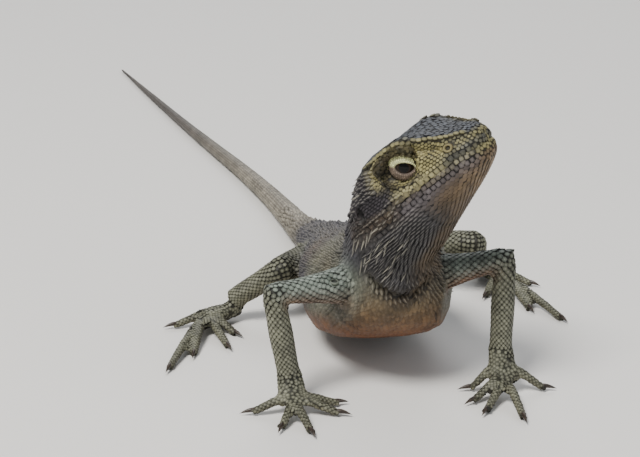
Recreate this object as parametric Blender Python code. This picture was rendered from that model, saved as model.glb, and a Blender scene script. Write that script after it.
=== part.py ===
"""A bearded dragon, life size, as a still model.

It stands on its spread forelegs with the chest up and the hips and tail on the floor, and its head
is raised and turned to its left. Lengths are in millimetres until a mesh is made, which is in metres.
+Z is up, the trunk faces -Y, and the animal's left is +X. The origin is the middle of the footprint.

The head, trunk and tail are one lofted tube along the spine, parted into lengths. Each leg is a tube
from hip or shoulder to wrist or ankle, and each hand and foot is a palm with five digits.
"""

import math

import bmesh
import bpy
import numpy as np
from mathutils import Matrix, Vector

MM = 0.001
ROUND = math.sqrt(0.5)
GAP = 0.3  # clearance between two solids that meet
BEND_GAP = 0.55  # the same at an elbow or knee, where the inner sides come closer

# ---------------------------------------------------------------- head
SNOUT = np.array([15.2, -71.6, 55.0])  # the tip of the snout, at the level of the mouth
HEAD_YAW = 51.0  # degrees that the head turns to its left
HEAD_PITCH = 32.5  # degrees that the snout points up
HEAD_ROLL = -4.5
HEAD_LENGTH = 24.5  # from the snout to the last section that belongs to the skull

# Sections of the skull: distance behind the snout, then the outline from crown to throat. Heights are
# above the mouth, and each pair is the half width and the height of that ridge.
#  back, crown,      brow ridge,    cheek,         jaw ridge,     throat
SKULL = [
    (0.00, 2.9, (1.5, 2.4), (2.1, 0.9), (1.5, -1.0), -1.4),
    (0.90, 4.1, (2.5, 3.4), (3.7, 0.7), (2.8, -2.1), -2.9),
    (2.60, 4.9, (3.5, 4.1), (5.2, 0.6), (4.2, -3.2), -4.3),
    (5.50, 5.7, (5.0, 4.9), (6.6, 0.5), (5.6, -4.5), -6.2),
    (9.50, 7.2, (7.0, 7.0), (8.0, 0.2), (7.0, -6.0), -8.4),
    (13.5, 8.2, (8.1, 8.7), (9.2, -0.3), (8.2, -7.4), -10.6),
    (17.5, 8.3, (7.9, 8.0), (10.4, -0.6), (9.2, -8.6), -12.8),
    (21.0, 8.2, (7.7, 7.0), (11.6, -0.8), (10.0, -9.8), -14.6),
    (HEAD_LENGTH, 7.4, (7.6, 5.8), (11.9, -1.4), (10.2, -10.8), -16.0),
]
# The line of the mouth from the side: how far back, and the height.
MOUTH_LINE = [(2.6, 0.5), (5.5, 0.4), (9.5, -0.2), (13.5, -1.2), (17.8, -1.8)]
JAW_HINGE = 25.0  # where the lower jaw ends, at the throat

EYE_RADIUS = 2.95
EYE_BACK = 14.9  # behind the snout
EYE_OUT = 5.75  # from the middle of the head
EYE_UP = 3.9  # above the mouth
ORBIT = (4.3, 2.3, 3.3)  # half length, depth and half height of the hollow round the eye

# ---------------------------------------------------------------- trunk and tail
# Sections: place along the body, sideways and up, then half width, height above and depth below.
#   y,     x,    z,   half width, above, below
TRUNK = [
    (-54.5, 0.7, 24.2, 10.6, 9.8, 12.4),
    (-47.0, 0.7, 20.2, 14.2, 10.8, 13.0),
    (-36.0, 1.1, 16.8, 16.0, 10.2, 13.8),
    (-24.0, 1.2, 13.8, 14.4, 9.4, 12.4),
    (-12.0, 0.5, 11.2, 11.2, 8.2, 10.6),
    (-1.0, 0.0, 9.2, 9.2, 6.8, 9.2),
    (9.0, -0.5, 7.4, 7.4, 5.4, 7.6),
]
BELLY_FULLNESS = 0.83  # how square the lower flank is: 0.71 is round
# Sections of the neck: x, y, z, half width, above, below, share of the head's roll, and its run.
NECK = [
    (-0.3, -59.0, 32.4, 10.2, 9.6, 12.0, 0.5, (-0.34, 0.66, -0.67)),
]
TAIL = [
    (19.0, -1.8, 5.6, 5.6, 4.2, 5.7),
    (31.0, -3.8, 4.1, 4.0, 3.3, 4.2),
    (47.0, -5.4, 3.2, 3.2, 2.8, 3.3),
    (66.0, -7.8, 2.7, 2.7, 2.4, 2.8),
    (90.0, -12.0, 2.3, 2.3, 2.1, 2.4),
    (115.0, -17.2, 2.0, 2.0, 1.8, 2.1),
    (145.0, -23.4, 1.7, 1.65, 1.5, 1.8),
    (175.0, -29.2, 1.4, 1.3, 1.2, 1.5),
    (205.0, -34.8, 1.0, 0.95, 0.9, 1.1),
    (236.0, -40.4, 0.6, 0.42, 0.42, 0.7),
]
BODY_SIDES = 24
TAIL_SIDES = 14

# ---------------------------------------------------------------- legs
# Joints of each leg, from the inside of the body to the wrist or ankle.
ARMS = {
    "left": ((8.0, -55.5, 22.8), (22.4, -60.2, 27.2), (21.9, -61.2, 8.8)),
    "right": ((-7.5, -56.5, 22.4), (-24.4, -62.0, 23.4), (-21.6, -62.4, 7.0)),
}
LEGS = {
    "left": ((5.0, 0.0, 9.0), (29.8, -12.0, 13.0), (34.6, 1.6, 5.0)),
    "right": ((-4.0, -1.0, 8.6), (-16.8, -20.5, 12.6), (-27.6, -17.4, 4.9)),
}
# Share of the way along the upper and the lower bone, and the half widths there.
ARM_UPPER = [(0.0, 4.6), (0.4, 3.2), (0.75, 2.5)]
ARM_BEND = 2.3
ARM_LOWER = [(0.22, 2.3), (0.5, 2.5), (0.8, 2.35), (1.0, 2.35)]
LEG_UPPER = [(0.0, 4.6), (0.4, 4.0), (0.75, 3.5)]
LEG_BEND = 3.1
LEG_LOWER = [(0.22, 2.8), (0.5, 2.6), (0.8, 2.5), (1.0, 2.3)]
LIMB_SIDES = 12

# ---------------------------------------------------------------- hands and feet
# The middle of the knuckles, then each digit as (degrees that it points round from -Y towards +X, how far
# it reaches from there, how far along the palm it starts).
HANDS = {
    "left": (
        (22.2, -65.0, 2.8),
        [(-112, 6.6, 0.4), (-67, 7.6, 0.8), (-38, 9.4, 1.0), (0, 11.2, 1.0), (92, 7.4, 0.5)],
    ),
    "right": (
        (-21.2, -66.8, 2.4),
        [(104, 8.4, 0.8), (74, 8.2, 0.9), (11, 8.8, 1.0), (-27, 6.6, 1.0), (-97, 7.4, 0.8)],
    ),
}
FEET = {
    "left": (
        (38.6, -7.6, 2.4),
        [(-46, 8.0, 0.8), (-20, 12.0, 0.9), (6, 14.9, 1.0), (17, 22.8, 1.0), (88, 6.0, 0.3)],
    ),
    "right": (
        (-34.4, -20.4, 2.4),
        [(48, 8.0, 0.8), (18, 12.4, 0.9), (-13, 14.9, 1.0), (-23, 22.8, 1.0), (-98, 5.8, 0.3)],
    ),
}
HAND_HALF_WIDTH, HAND_HALF_HEIGHT = 3.0, 1.7
FOOT_HALF_WIDTH, FOOT_HALF_HEIGHT = 2.9, 1.8
FINGER_RADIUS, TOE_RADIUS = 0.95, 1.05
TIP_RADIUS = 0.72
DIGIT_SIDES = 8
CLAW_LENGTH = 2.7
CLAW_RADIUS = 0.5
CLAW_SIDES = 6
CLAW_CLEARANCE = 0.25  # the claws stay this far above the floor

# Which pieces share a colour, by how their names start: (colour, roughness).
FINISHES = {
    "eye": ((0.03, 0.02, 0.015), 0.15),
    "claw": ((0.07, 0.05, 0.035), 0.4),
    "lower_jaw": ((0.30, 0.25, 0.17), 0.75),
    "head": ((0.20, 0.20, 0.18), 0.7),
    "tail": ((0.22, 0.23, 0.19), 0.75),
    "": ((0.19, 0.17, 0.14), 0.75),
}


def clear_scene():
    for obj in list(bpy.data.objects):
        bpy.data.objects.remove(obj)


def finish(name):
    """A new material for the piece of this name."""
    colour, roughness = next(look for start, look in FINISHES.items() if name.startswith(start))
    material = bpy.data.materials.new(name)
    material.use_nodes = True
    shader = material.node_tree.nodes["Principled BSDF"]
    shader.inputs["Base Color"].default_value = (*colour, 1.0)
    shader.inputs["Roughness"].default_value = roughness
    return material


# ---------------------------------------------------------------- lofting
def along(rows, place):
    """The Catmull-Rom curve through rows, at place, which counts rows from 0."""
    last = len(rows) - 1
    i = min(max(int(place), 0), last - 1)
    t = place - i
    a, b, c, d = (rows[min(max(i + k, 0), last)] for k in (-1, 0, 1, 2))
    return 0.5 * (2 * b + (c - a) * t + (2 * a - 5 * b + 4 * c - d) * t**2 + (3 * (b - c) + d - a) * t**3)


def round_outline(half_width, above, below, fullness=ROUND):
    """The widths and heights of an oval section, in the order that ring_at reads them."""
    shoulder = [ROUND * half_width, ROUND * above]
    flank = [fullness * half_width, -fullness * below]
    return [above, *shoulder, half_width, 0.0, *flank, -below]


def station(centre, up, outline, back=(0, 0, 0)):
    """One section: where it is, the way that the tube runs on from it, its up, and its outline."""
    return np.array([*centre, *back, *up, *outline], float)


def aimed(rows):
    """The rows, with every section that has no direction yet set square to the line of centres."""
    for i, row in enumerate(rows):
        if not row[3:6].any():
            run = rows[min(i + 1, len(rows) - 1)][:3] - rows[max(i - 1, 0)][:3]
            row[3:6] = run / np.linalg.norm(run)
    return rows


def ring_at(rows, place, sides, floor):
    """The points of one section, which never go below the floor."""
    row = along(rows, place)
    back = Vector(row[3:6]).normalized()
    up = Vector(row[6:9])
    up = (up - back * up.dot(back)).normalized()
    left = back.cross(up)
    crown, brow_w, brow_z, side_w, side_z, jaw_w, jaw_z, throat = row[9:]
    half = [(brow_w, brow_z), (side_w, side_z), (jaw_w, jaw_z)]
    outline = [(0.0, crown), *half, (0.0, throat), *((-w, z) for w, z in reversed(half))]
    # Three points each side carry the curve round the join.
    wrapped = np.array(outline[-3:] + outline + outline[:4], float)
    points = []
    for k in range(sides):
        w, z = along(wrapped, 3 + 8 * k / sides)
        point = Vector(row[:3]) + left * w + up * z
        point.z = max(point.z, floor)
        points.append(point)
    return points


def half_gap(rows, place, gap=GAP):
    """How much of a row's spacing half the gap between two solids takes, at place."""
    step = 0.05
    low, high = max(place - step, 0), min(place + step, len(rows) - 1)
    run = along(rows, high)[:3] - along(rows, low)[:3]
    return gap / 2 * (high - low) / np.linalg.norm(run)


def loft(name, rows, start, end, rings, sides, floor=0.0, grow=0.0):
    """One closed solid through the sections from start to end. grow makes it stouter all round."""
    if grow:
        rows = [np.array([*r[:9], *(r[9:] + grow * np.sign(r[9:]))]) for r in rows]
    places = np.linspace(start, end, rings)
    mesh = bmesh.new()
    loops = [[mesh.verts.new(p * MM) for p in ring_at(rows, place, sides, floor)] for place in places]
    for a, b in zip(loops, loops[1:]):
        for k in range(sides):
            mesh.faces.new((a[k], a[(k + 1) % sides], b[(k + 1) % sides], b[k]))
    mesh.faces.new(loops[0])
    mesh.faces.new(loops[-1])
    return solid(name, mesh)


def solid(name, mesh):
    """An object of this closed bmesh, with its faces turned outwards."""
    bmesh.ops.triangulate(mesh, faces=mesh.faces[:])
    bmesh.ops.recalc_face_normals(mesh, faces=mesh.faces[:])
    data = bpy.data.meshes.new(name)
    mesh.to_mesh(data)
    mesh.free()
    data.shade_smooth()
    data.materials.append(finish(name))
    obj = bpy.data.objects.new(name, data)
    bpy.context.scene.collection.objects.link(obj)
    return obj


def combine(obj, other, operation, keep=False):
    """Applies one Boolean to obj, and removes the other object unless it is kept."""
    modifier = obj.modifiers.new(operation.lower(), "BOOLEAN")
    modifier.operation = operation
    modifier.object = other
    material = obj.data.materials[0]
    graph = bpy.context.evaluated_depsgraph_get()
    made = bpy.data.meshes.new_from_object(obj.evaluated_get(graph))
    made.name = obj.name
    made.materials.clear()
    made.materials.append(material)
    obj.modifiers.clear()
    obj.data = made
    if not keep:
        bpy.data.objects.remove(other)


# ---------------------------------------------------------------- head, neck, trunk and tail
def head_axes():
    """Unit vectors of the head: towards the snout, its left, and up."""
    turned = (
        Matrix.Rotation(math.radians(HEAD_YAW), 3, "Z")
        @ Matrix.Rotation(math.radians(-HEAD_PITCH), 3, "X")
        @ Matrix.Rotation(math.radians(HEAD_ROLL), 3, "Y")
    )
    return turned @ Vector((0, -1, 0)), turned @ Vector((1, 0, 0)), turned @ Vector((0, 0, 1))


def in_head(back, out, up):
    """A point of the head, from how far it is behind the snout, out to the left, and above the mouth."""
    forward, left, rise = head_axes()
    return Vector(SNOUT) - forward * back + left * out + rise * up


def skull_rows():
    forward, _, up = head_axes()
    rows = []
    for back, crown, brow, cheek, jaw, throat in SKULL:
        # The section is hung from its own middle, so that the neck can bend from it.
        middle = (crown + throat) / 2
        outline = np.array([crown, *brow, *cheek, *jaw, throat]) - middle * np.array([1, 0, 1, 0, 1, 0, 1, 1])
        rows.append(station(in_head(back, 0, middle), up, outline, back=-forward))
    return rows


def body_row(y, x, z, half_width, above, below, fullness=ROUND):
    return station((x, y, z), (0, 0, 1), round_outline(half_width, above, below, fullness))


def spine_rows():
    """Sections from the snout to the tip of the tail, and the places where its lengths part."""
    skull = skull_rows()
    forward, _, rise = head_axes()
    neck = [station((x, y, z), rise * share + Vector((0, 0, 1 - share)), round_outline(*size), back=back)
            for x, y, z, *size, share, back in NECK]
    rows = skull + neck + [body_row(*r, BELLY_FULLNESS) for r in TRUNK] + [body_row(*r) for r in TAIL]
    return aimed(rows), len(skull), len(skull) + len(neck), len(skull) + len(neck) + len(TRUNK)


def spheroid(name, centre, axes, radii, rounds=16):
    """A ball stretched along three axes."""
    mesh = bmesh.new()
    bmesh.ops.create_uvsphere(mesh, u_segments=rounds, v_segments=rounds // 2 + 2, radius=1.0)
    place = Matrix([a * r for a, r in zip(axes, radii)]).transposed().to_4x4()
    place = Matrix.Translation(Vector(centre)) @ place
    bmesh.ops.transform(mesh, matrix=Matrix.Scale(MM, 4) @ place, verts=mesh.verts[:])
    return solid(name, mesh)


def jaw_block(inset):
    """The space below the mouth and ahead of the jaw hinge, as a prism, smaller by inset at its edges."""
    wide, deep, ahead = 30.0, 40.0, 6.0
    lips = [(-ahead, 0.0), *MOUTH_LINE]
    side = [(back, up - inset) for back, up in lips[:-1]]
    side += [(lips[-1][0] - inset, lips[-1][1] - inset), (JAW_HINGE - inset, -deep), (-ahead, -deep)]
    mesh = bmesh.new()
    ends = [[mesh.verts.new(in_head(back, out, up) * MM) for back, up in side] for out in (-wide, wide)]
    bmesh.ops.bridge_loops(mesh, edges=[e for loop in ends for e in mesh.faces.new(loop).edges])
    return solid("jaw_block", mesh)


def make_head(rows, end):
    forward, left, rise = head_axes()
    cut = end - half_gap(rows, end)
    head = loft("head", rows, 0, cut, 15, BODY_SIDES)
    lower = loft("lower_jaw", rows, 0, cut, 15, BODY_SIDES)
    combine(head, jaw_block(0.0), "DIFFERENCE")
    combine(lower, jaw_block(GAP), "INTERSECT")
    for side, name in ((1, "left"), (-1, "right")):
        centre = in_head(EYE_BACK, side * EYE_OUT, EYE_UP)
        hollow = in_head(EYE_BACK, side * (EYE_OUT + EYE_RADIUS + 0.6), EYE_UP + 0.2)
        combine(head, spheroid("orbit", hollow, (forward, left, rise), ORBIT), "DIFFERENCE")
        socket = [EYE_RADIUS + GAP] * 3
        combine(head, spheroid("socket", centre, (forward, left, rise), socket), "DIFFERENCE")
        spheroid(f"eye_{name}", centre, (forward, left, rise), [EYE_RADIUS] * 3)


def make_spine():
    rows, skull_end, trunk_start, tail_start = spine_rows()
    head_end = skull_end - 1
    make_head(rows, head_end)
    lengths = [
        ("neck", head_end, trunk_start + 0.35, 7, BODY_SIDES),
        ("chest", trunk_start + 0.35, trunk_start + 2.4, 6, BODY_SIDES),
        ("belly", trunk_start + 2.4, trunk_start + 4.3, 6, BODY_SIDES),
        ("hips", trunk_start + 4.3, tail_start, 7, BODY_SIDES),
        ("tail_base", tail_start, tail_start + 1.5, 6, 16),
        ("tail_fore", tail_start + 1.5, tail_start + 3.5, 7, TAIL_SIDES),
        ("tail_middle", tail_start + 3.5, tail_start + 5.5, 7, TAIL_SIDES),
        ("tail_rear", tail_start + 5.5, tail_start + 7.4, 7, 10),
        ("tail_tip", tail_start + 7.4, len(rows) - 1, 6, 8),
    ]
    for name, start, end, rings, sides in lengths:
        last = end == len(rows) - 1
        begin = start + half_gap(rows, start)
        stop = end if last else end - half_gap(rows, end)
        loft(name, rows, begin, stop, rings, sides)
    return rows, trunk_start, tail_start


# ---------------------------------------------------------------- legs
def leg_rows(joints, upper, bend, lower):
    """Sections along one leg, their up vector square to the plane in which it bends."""
    root, hinge, end = (np.array(j) for j in joints)
    across = Vector(hinge - root).cross(Vector(end - hinge)).normalized()
    rows = [station(root + (hinge - root) * s, across, round_outline(r, r, r)) for s, r in upper]
    rows.append(station(hinge, across, round_outline(bend, bend, bend)))
    rows += [station(hinge + (end - hinge) * s, across, round_outline(r, r, r)) for s, r in lower]
    return aimed(rows)


def make_leg(side, names, joints, shape, body):
    upper, bend, lower = shape
    rows = leg_rows(joints, upper, bend, lower)
    hinge = len(upper)
    part = half_gap(rows, hinge, BEND_GAP)
    thigh = loft(f"{names[0]}_{side}", rows, 0, hinge - part, 8, LIMB_SIDES)
    end = len(rows) - 1
    shin = loft(f"{names[1]}_{side}", rows, hinge + part, end - half_gap(rows, end), 9, LIMB_SIDES)
    # The inner sides of the two meet at a sharp bend, so the lower one is trimmed to the upper one.
    combine(shin, loft("bend_cutter", rows, 1, hinge - part, 8, LIMB_SIDES, grow=GAP), "DIFFERENCE")
    for limb in (thigh, shin):
        combine(limb, body, "DIFFERENCE", keep=True)
    return rows


# ---------------------------------------------------------------- hands and feet
def heading(degrees):
    """Unit vector on the floor, turned from -Y towards +X."""
    turn = math.radians(degrees)
    return np.array([math.sin(turn), -math.cos(turn), 0.0])


def level(run):
    """The unit vector of run on the floor."""
    flat = np.array([run[0], run[1], 0.0])
    return flat / np.linalg.norm(flat)


def palm_rows(leg, knuckles):
    """Sections of a hand, from the wrist, bending down onto the floor and out to the knuckles."""
    wrist, before = leg[-1][:3], leg[-2][:3]
    forward = level(knuckles - wrist)
    arriving = (wrist - before) / np.linalg.norm(wrist - before)
    wide, thick = HAND_HALF_WIDTH, HAND_HALF_HEIGHT
    first = leg[-1][9]
    heel = wrist + arriving * 1.6 + forward * 0.4
    middle = (heel + knuckles) / 2
    middle[2] = (middle[2] + knuckles[2]) / 2
    sections = [(wrist, first, first), (heel, first * 1.1, first), (middle, wide, thick)]
    rows = paw_rows(sections + [(knuckles, wide * 0.95, thick * 0.85)], forward)
    rows[0][3:6] = arriving
    return rows


def sole_rows(leg, knuckles):
    """Sections of a foot, flat on the floor from the heel, below the ankle, to the knuckles."""
    ankle = leg[-1][:3]
    forward = level(knuckles - ankle)
    wide, thick = FOOT_HALF_WIDTH, FOOT_HALF_HEIGHT
    below = np.array([ankle[0], ankle[1], knuckles[2]])
    heel = below - forward * 2.4
    sections = [(heel, wide * 0.5, thick * 0.7), (below, wide * 0.8, thick)]
    sections.append(((below + knuckles) / 2, wide, thick))
    return paw_rows(sections + [(knuckles, wide * 0.95, thick * 0.85)], forward)


def paw_rows(sections, forward):
    # The outline's up vector lies across the paw, so its height is the paw's half width.
    across = Vector(forward).cross(Vector((0, 0, 1)))
    rows = [station(at, across, round_outline(thick, wide, wide)) for at, wide, thick in sections]
    return aimed(rows)


def digit_rows(root, tip, radius, arch):
    """Sections along one finger or toe, which arches over its knuckle and comes down on its pad."""
    across = Vector(tip - root).cross(Vector((0, 0, 1))).normalized()
    rows = []
    knuckle, pad, end = (0.3, 0.9, 0.98), (0.62, 0.75, 0.9), (1.0, 0.0, TIP_RADIUS / radius)
    for share, rise, size in ((0.0, 0.0, 1.0), knuckle, pad, end):
        centre = root + (tip - root) * share
        centre[2] += arch * rise
        rows.append(station(centre, across, round_outline(*[radius * size] * 3)))
    return aimed(rows)


def make_claw(name, tip, direction):
    """A claw that leaves the digit's end and curves down to just above the floor."""
    rows = []
    across = Vector(direction).cross(Vector((0, 0, 1))).normalized()
    low = CLAW_CLEARANCE + 0.25
    for share, size in ((0.0, 1.0), (0.35, 0.9), (0.7, 0.62), (1.0, 0.42)):
        centre = tip + direction * (TIP_RADIUS * 0.2 + GAP + CLAW_LENGTH * share)
        rise = math.sin(math.pi * min(share + 0.25, 1.0)) * 0.45
        centre[2] = low + (tip[2] - low) * (1 - share**1.5) + rise
        radius = CLAW_RADIUS * size
        rows.append(station(centre, across, round_outline(radius, radius, radius)))
    loft(name, aimed(rows), 0, len(rows) - 1, 4, CLAW_SIDES, floor=CLAW_CLEARANCE)


def make_paw(kind, side, rows, plan, half_width, radius):
    """A hand or foot with its five digits as one solid, and a claw ahead of each digit."""
    paw = loft(f"{kind}_{side}", rows, half_gap(rows, 0), len(rows) - 1, 7, LIMB_SIDES)
    heel, knuckles = rows[1][:3], rows[-1][:3]
    for number, (degrees, reach, start) in enumerate(plan, 1):
        direction = heading(degrees)
        root = heel + (knuckles - heel) * start + direction * half_width * (0.5 - 0.6 * start)
        root[2] -= 0.4 * start
        tip = knuckles + direction * reach
        tip[2] = TIP_RADIUS * 0.9
        rows_of_digit = digit_rows(root, tip, radius, 0.9)
        digit = loft("digit", rows_of_digit, 0, len(rows_of_digit) - 1, 6, DIGIT_SIDES)
        combine(paw, digit, "UNION")
        make_claw(f"claw_{kind}_{side}_{number}", tip, level(tip - root))
    return paw


def settle():
    """Moves the footprint's middle to the origin, and gives each piece its own middle as its origin."""
    corners = np.array([v.co[:] for obj in bpy.data.objects for v in obj.data.vertices])
    footprint = (corners.min(0) + corners.max(0)) / 2
    for obj in bpy.data.objects:
        corners = np.array([v.co[:] for v in obj.data.vertices])
        middle = (corners.min(0) + corners.max(0)) / 2
        obj.data.transform(Matrix.Translation(-middle))
        obj.location = middle - footprint * np.array([1, 1, 0])


def main():
    clear_scene()
    rows, trunk_start, tail_start = make_spine()
    # The body grown by the gap, which trims the leg roots that start inside it.
    start, end = trunk_start - 0.9, tail_start + 0.8
    body = loft("body_cutter", rows, start, end, 30, BODY_SIDES, floor=-9.0, grow=GAP)
    for side in ("left", "right"):
        arm = make_leg(side, ("upper_arm", "forearm"), ARMS[side], (ARM_UPPER, ARM_BEND, ARM_LOWER), body)
        knuckles, digits = HANDS[side]
        make_paw("hand", side, palm_rows(arm, np.array(knuckles)), digits, HAND_HALF_WIDTH, FINGER_RADIUS)
        leg = make_leg(side, ("thigh", "shin"), LEGS[side], (LEG_UPPER, LEG_BEND, LEG_LOWER), body)
        knuckles, digits = FEET[side]
        foot = make_paw("foot", side, sole_rows(leg, np.array(knuckles)), digits, FOOT_HALF_WIDTH, TOE_RADIUS)
        bend = len(LEG_UPPER)
        combine(foot, loft("ankle_cutter", leg, bend, len(leg) - 1, 9, LIMB_SIDES, grow=GAP), "DIFFERENCE")
    bpy.data.objects.remove(body)
    settle()


main()
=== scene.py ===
"""A bearded dragon, life size, as a still model: its hide, scales, spines, eyes and claws.

The solids of the frame give every place. One hide is drawn over the flesh, and the scales are set
into it in rows that follow the body. Working lengths are millimetres, and meshes end up in metres.
"""

import math

import bmesh
import bpy
import numpy as np
from mathutils import Matrix, Vector
from mathutils.bvhtree import BVHTree
from mathutils.kdtree import KDTree


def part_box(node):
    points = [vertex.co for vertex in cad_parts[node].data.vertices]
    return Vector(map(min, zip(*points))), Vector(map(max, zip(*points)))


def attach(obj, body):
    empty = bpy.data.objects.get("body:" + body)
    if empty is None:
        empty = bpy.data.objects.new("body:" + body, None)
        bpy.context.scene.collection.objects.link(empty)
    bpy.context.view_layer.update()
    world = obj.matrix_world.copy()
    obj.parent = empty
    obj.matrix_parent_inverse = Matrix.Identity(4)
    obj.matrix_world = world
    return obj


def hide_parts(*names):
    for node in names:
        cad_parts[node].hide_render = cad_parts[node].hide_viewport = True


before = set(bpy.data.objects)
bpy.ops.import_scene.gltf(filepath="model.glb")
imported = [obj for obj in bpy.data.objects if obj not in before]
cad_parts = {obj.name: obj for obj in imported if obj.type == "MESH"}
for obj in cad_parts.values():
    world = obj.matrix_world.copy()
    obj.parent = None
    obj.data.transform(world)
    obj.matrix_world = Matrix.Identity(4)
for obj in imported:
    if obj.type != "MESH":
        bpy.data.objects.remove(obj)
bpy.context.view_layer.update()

# ------------------------------------------------------------------ hide: one closed skin
# The hide is a single loose skin over muscle and bone. It is cast from the flesh solids, which are
# swollen until they meet, fused, smoothed, and drawn back in to leave room for the scales.

SWELL = 0.42  # how far each solid grows, so that the thin cuts between them close
CAST_STEP = 0.34  # grain of the fused cast
COAT_DEPTH, PAW_DEPTH = 0.30, 0.14  # the hide lies this far inside the solids, under the scales
BODY_EASE, LIMB_EASE, HEAD_EASE, PAW_EASE = 0.5, 0.42, 0.3, 0.12  # how strongly each is smoothed
ANKLE_REACH = 3.6  # how far from each ankle its edge is rounded off
TOE_REACH = 0.9  # how much of a toe's tip is drawn out to its claw
TOE_GRIP = 0.55  # how far the tip closes over the claw's root
END_SLICE = 0.3  # thickness of the slice that gives the middle of a claw's end
TRUNK, PAWS = ("neck", "chest", "belly", "hips"), ("hand", "foot")
FLESH = sorted(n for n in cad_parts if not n.startswith(("eye_", "claw_")))
CLAWS = [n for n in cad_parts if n.startswith("claw_")]


def swollen(node, by):
    """A flesh solid's points in millimetres, moved outward, and its faces."""
    bm = bmesh.new()
    bm.from_mesh(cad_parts[node].data)
    bmesh.ops.remove_doubles(bm, verts=bm.verts, dist=1e-6)
    bm.normal_update()
    points = [v.co * 1000 + v.normal * by * min(v.calc_shell_factor(), 1.8) for v in bm.verts]
    faces = [[v.index for v in f.verts] for f in bm.faces]
    bm.free()
    return points, faces


def joined(parts):
    """Several (points, faces) as one, and which part each face came from."""
    points, faces, source = [], [], []
    for number, (more, rings) in enumerate(parts):
        start = len(points)
        points += more
        faces += [[start + i for i in ring] for ring in rings]
        source += [number] * len(rings)
    return points, faces, np.array(source)


def coordinates(mesh):
    """The points of a mesh as an array."""
    co = np.empty(len(mesh.vertices) * 3, np.float32)
    mesh.vertices.foreach_get("co", co)
    return co.reshape(-1, 3).astype(float)


def solid_points(node):
    """A solid's points in millimetres."""
    return coordinates(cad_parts[node].data) * 1000


def normals_of(mesh):
    """The outward way at each point of a mesh."""
    out = np.empty(len(mesh.vertices) * 3, np.float32)
    mesh.vertex_normals.foreach_get("vector", out)
    return out.reshape(-1, 3).astype(float)


def place_points(mesh, points):
    """Moves the points of a mesh to new places."""
    mesh.vertices.foreach_set("co", points.astype(np.float32).ravel())
    mesh.update()


def long_way(cloud):
    """The direction that a cloud of points is longest in."""
    return np.linalg.svd(cloud - cloud.mean(0), full_matrices=False)[2][0]


def put_out(name, data):
    """A new object in the scene."""
    made = bpy.data.objects.new(name, data)
    bpy.context.scene.collection.objects.link(made)
    return made


def with_modifiers(obj):
    """The mesh that an object's modifiers make, put back on the object without them."""
    shaped = bpy.data.meshes.new_from_object(obj.evaluated_get(bpy.context.evaluated_depsgraph_get()))
    obj.modifiers.clear()
    obj.data = shaped
    return shaped


def edges_of(mesh):
    """The two points of each edge of a mesh."""
    ends = np.empty(len(mesh.edges) * 2, np.int32)
    mesh.edges.foreach_get("vertices", ends)
    return ends.reshape(-1, 2)


def eased(values, edges, share, rounds, back=0.0):
    """Values on the points, drawn by a share towards their neighbours' mean and let out by back."""
    a = np.concatenate([edges[:, 0], edges[:, 1]])
    b = np.concatenate([edges[:, 1], edges[:, 0]])
    count = np.maximum(np.bincount(a, minlength=len(values)), 1)
    values = values.astype(float).copy()
    flat = values.reshape(len(values), -1)
    share = np.broadcast_to(np.asarray(share, float), (len(values),))[:, None]
    for _ in range(rounds):
        for step in (share, -share * back) if back else (share,):
            mean = np.stack([np.bincount(a, flat[b, i], len(flat)) for i in range(flat.shape[1])], 1)
            flat += step * (mean / count[:, None] - flat)
    return flat.reshape(values.shape)


flesh_points, flesh_faces, flesh_part = joined([swollen(n, 0.0) for n in FLESH])
flesh_tree = BVHTree.FromPolygons(flesh_points, flesh_faces)


def parts_at(points):
    """Which flesh solid each point belongs to, as an index into FLESH."""
    return flesh_part[[flesh_tree.find_nearest(Vector(p))[2] for p in points]]


def is_part(part, *starts):
    """Which of these part numbers belong to parts with names that start so."""
    return np.array([n.startswith(starts) for n in FLESH])[np.asarray(part, int)]


def from_spot(points, spot, stretch=1.0):
    """How far each point is from a spot, or how many times the half widths of an oval round it."""
    return np.linalg.norm((points - spot) / np.asarray(stretch, float), axis=1)


cast_points, cast_faces, _ = joined([swollen(n, SWELL) for n in FLESH])
cast = bpy.data.meshes.new("hide")
cast.from_pydata(cast_points, [], cast_faces)
hide = put_out("hide", cast)
fuse = hide.modifiers.new("fuse", "REMESH")
fuse.mode, fuse.voxel_size = "VOXEL", CAST_STEP
with_modifiers(hide)

points, edges = coordinates(hide.data), edges_of(hide.data)
part = parts_at(points)
on_paw, on_limb = is_part(part, *PAWS), is_part(part, "upper", "fore", "thigh", "shin", "tail")
ease = np.select([on_paw, is_part(part, *TRUNK), on_limb], [PAW_EASE, BODY_EASE, LIMB_EASE], HEAD_EASE)
ease = eased(ease, edges, 0.5, 12)
points = eased(points, edges, 0.5, 5, back=1.04)
points = eased(points, edges, ease, 45, back=1.02)
place_points(hide.data, points)
depth = eased(np.where(on_paw, PAW_DEPTH, COAT_DEPTH), edges, 0.5, 12)
points -= normals_of(hide.data) * (SWELL + depth)[:, None]
points = eased(points, edges, 0.4, 2)

# the ankles are rounded off, and the flesh of each toe closes on its claw
for side in ("left", "right"):
    shin, foot = part == FLESH.index(f"shin_{side}"), part == FLESH.index(f"foot_{side}")
    a, b = edges.T
    ankle = points[a[(shin[a] & foot[b]) | (foot[a] & shin[b])]].mean(0)
    near = np.exp(-(from_spot(points, ankle, ANKLE_REACH) ** 4))
    points = eased(points, edges, 0.55 * near, 50)
for name in CLAWS:
    claw = solid_points(name)
    far = (claw - claw.mean(0)) @ long_way(claw)
    ends = [claw[far < far.min() + END_SLICE].mean(0), claw[far > far.max() - END_SLICE].mean(0)]
    gaps = [from_spot(points, end) for end in ends]
    if gaps[1].min() < gaps[0].min():
        ends, gaps = ends[::-1], gaps[::-1]
    way = (ends[1] - ends[0]) / np.linalg.norm(ends[1] - ends[0])
    shift = TOE_GRIP + gaps[0].min()
    points += way * shift * np.exp(-((gaps[0] / (TOE_REACH + shift)) ** 2))[:, None]
place_points(hide.data, points)

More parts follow.
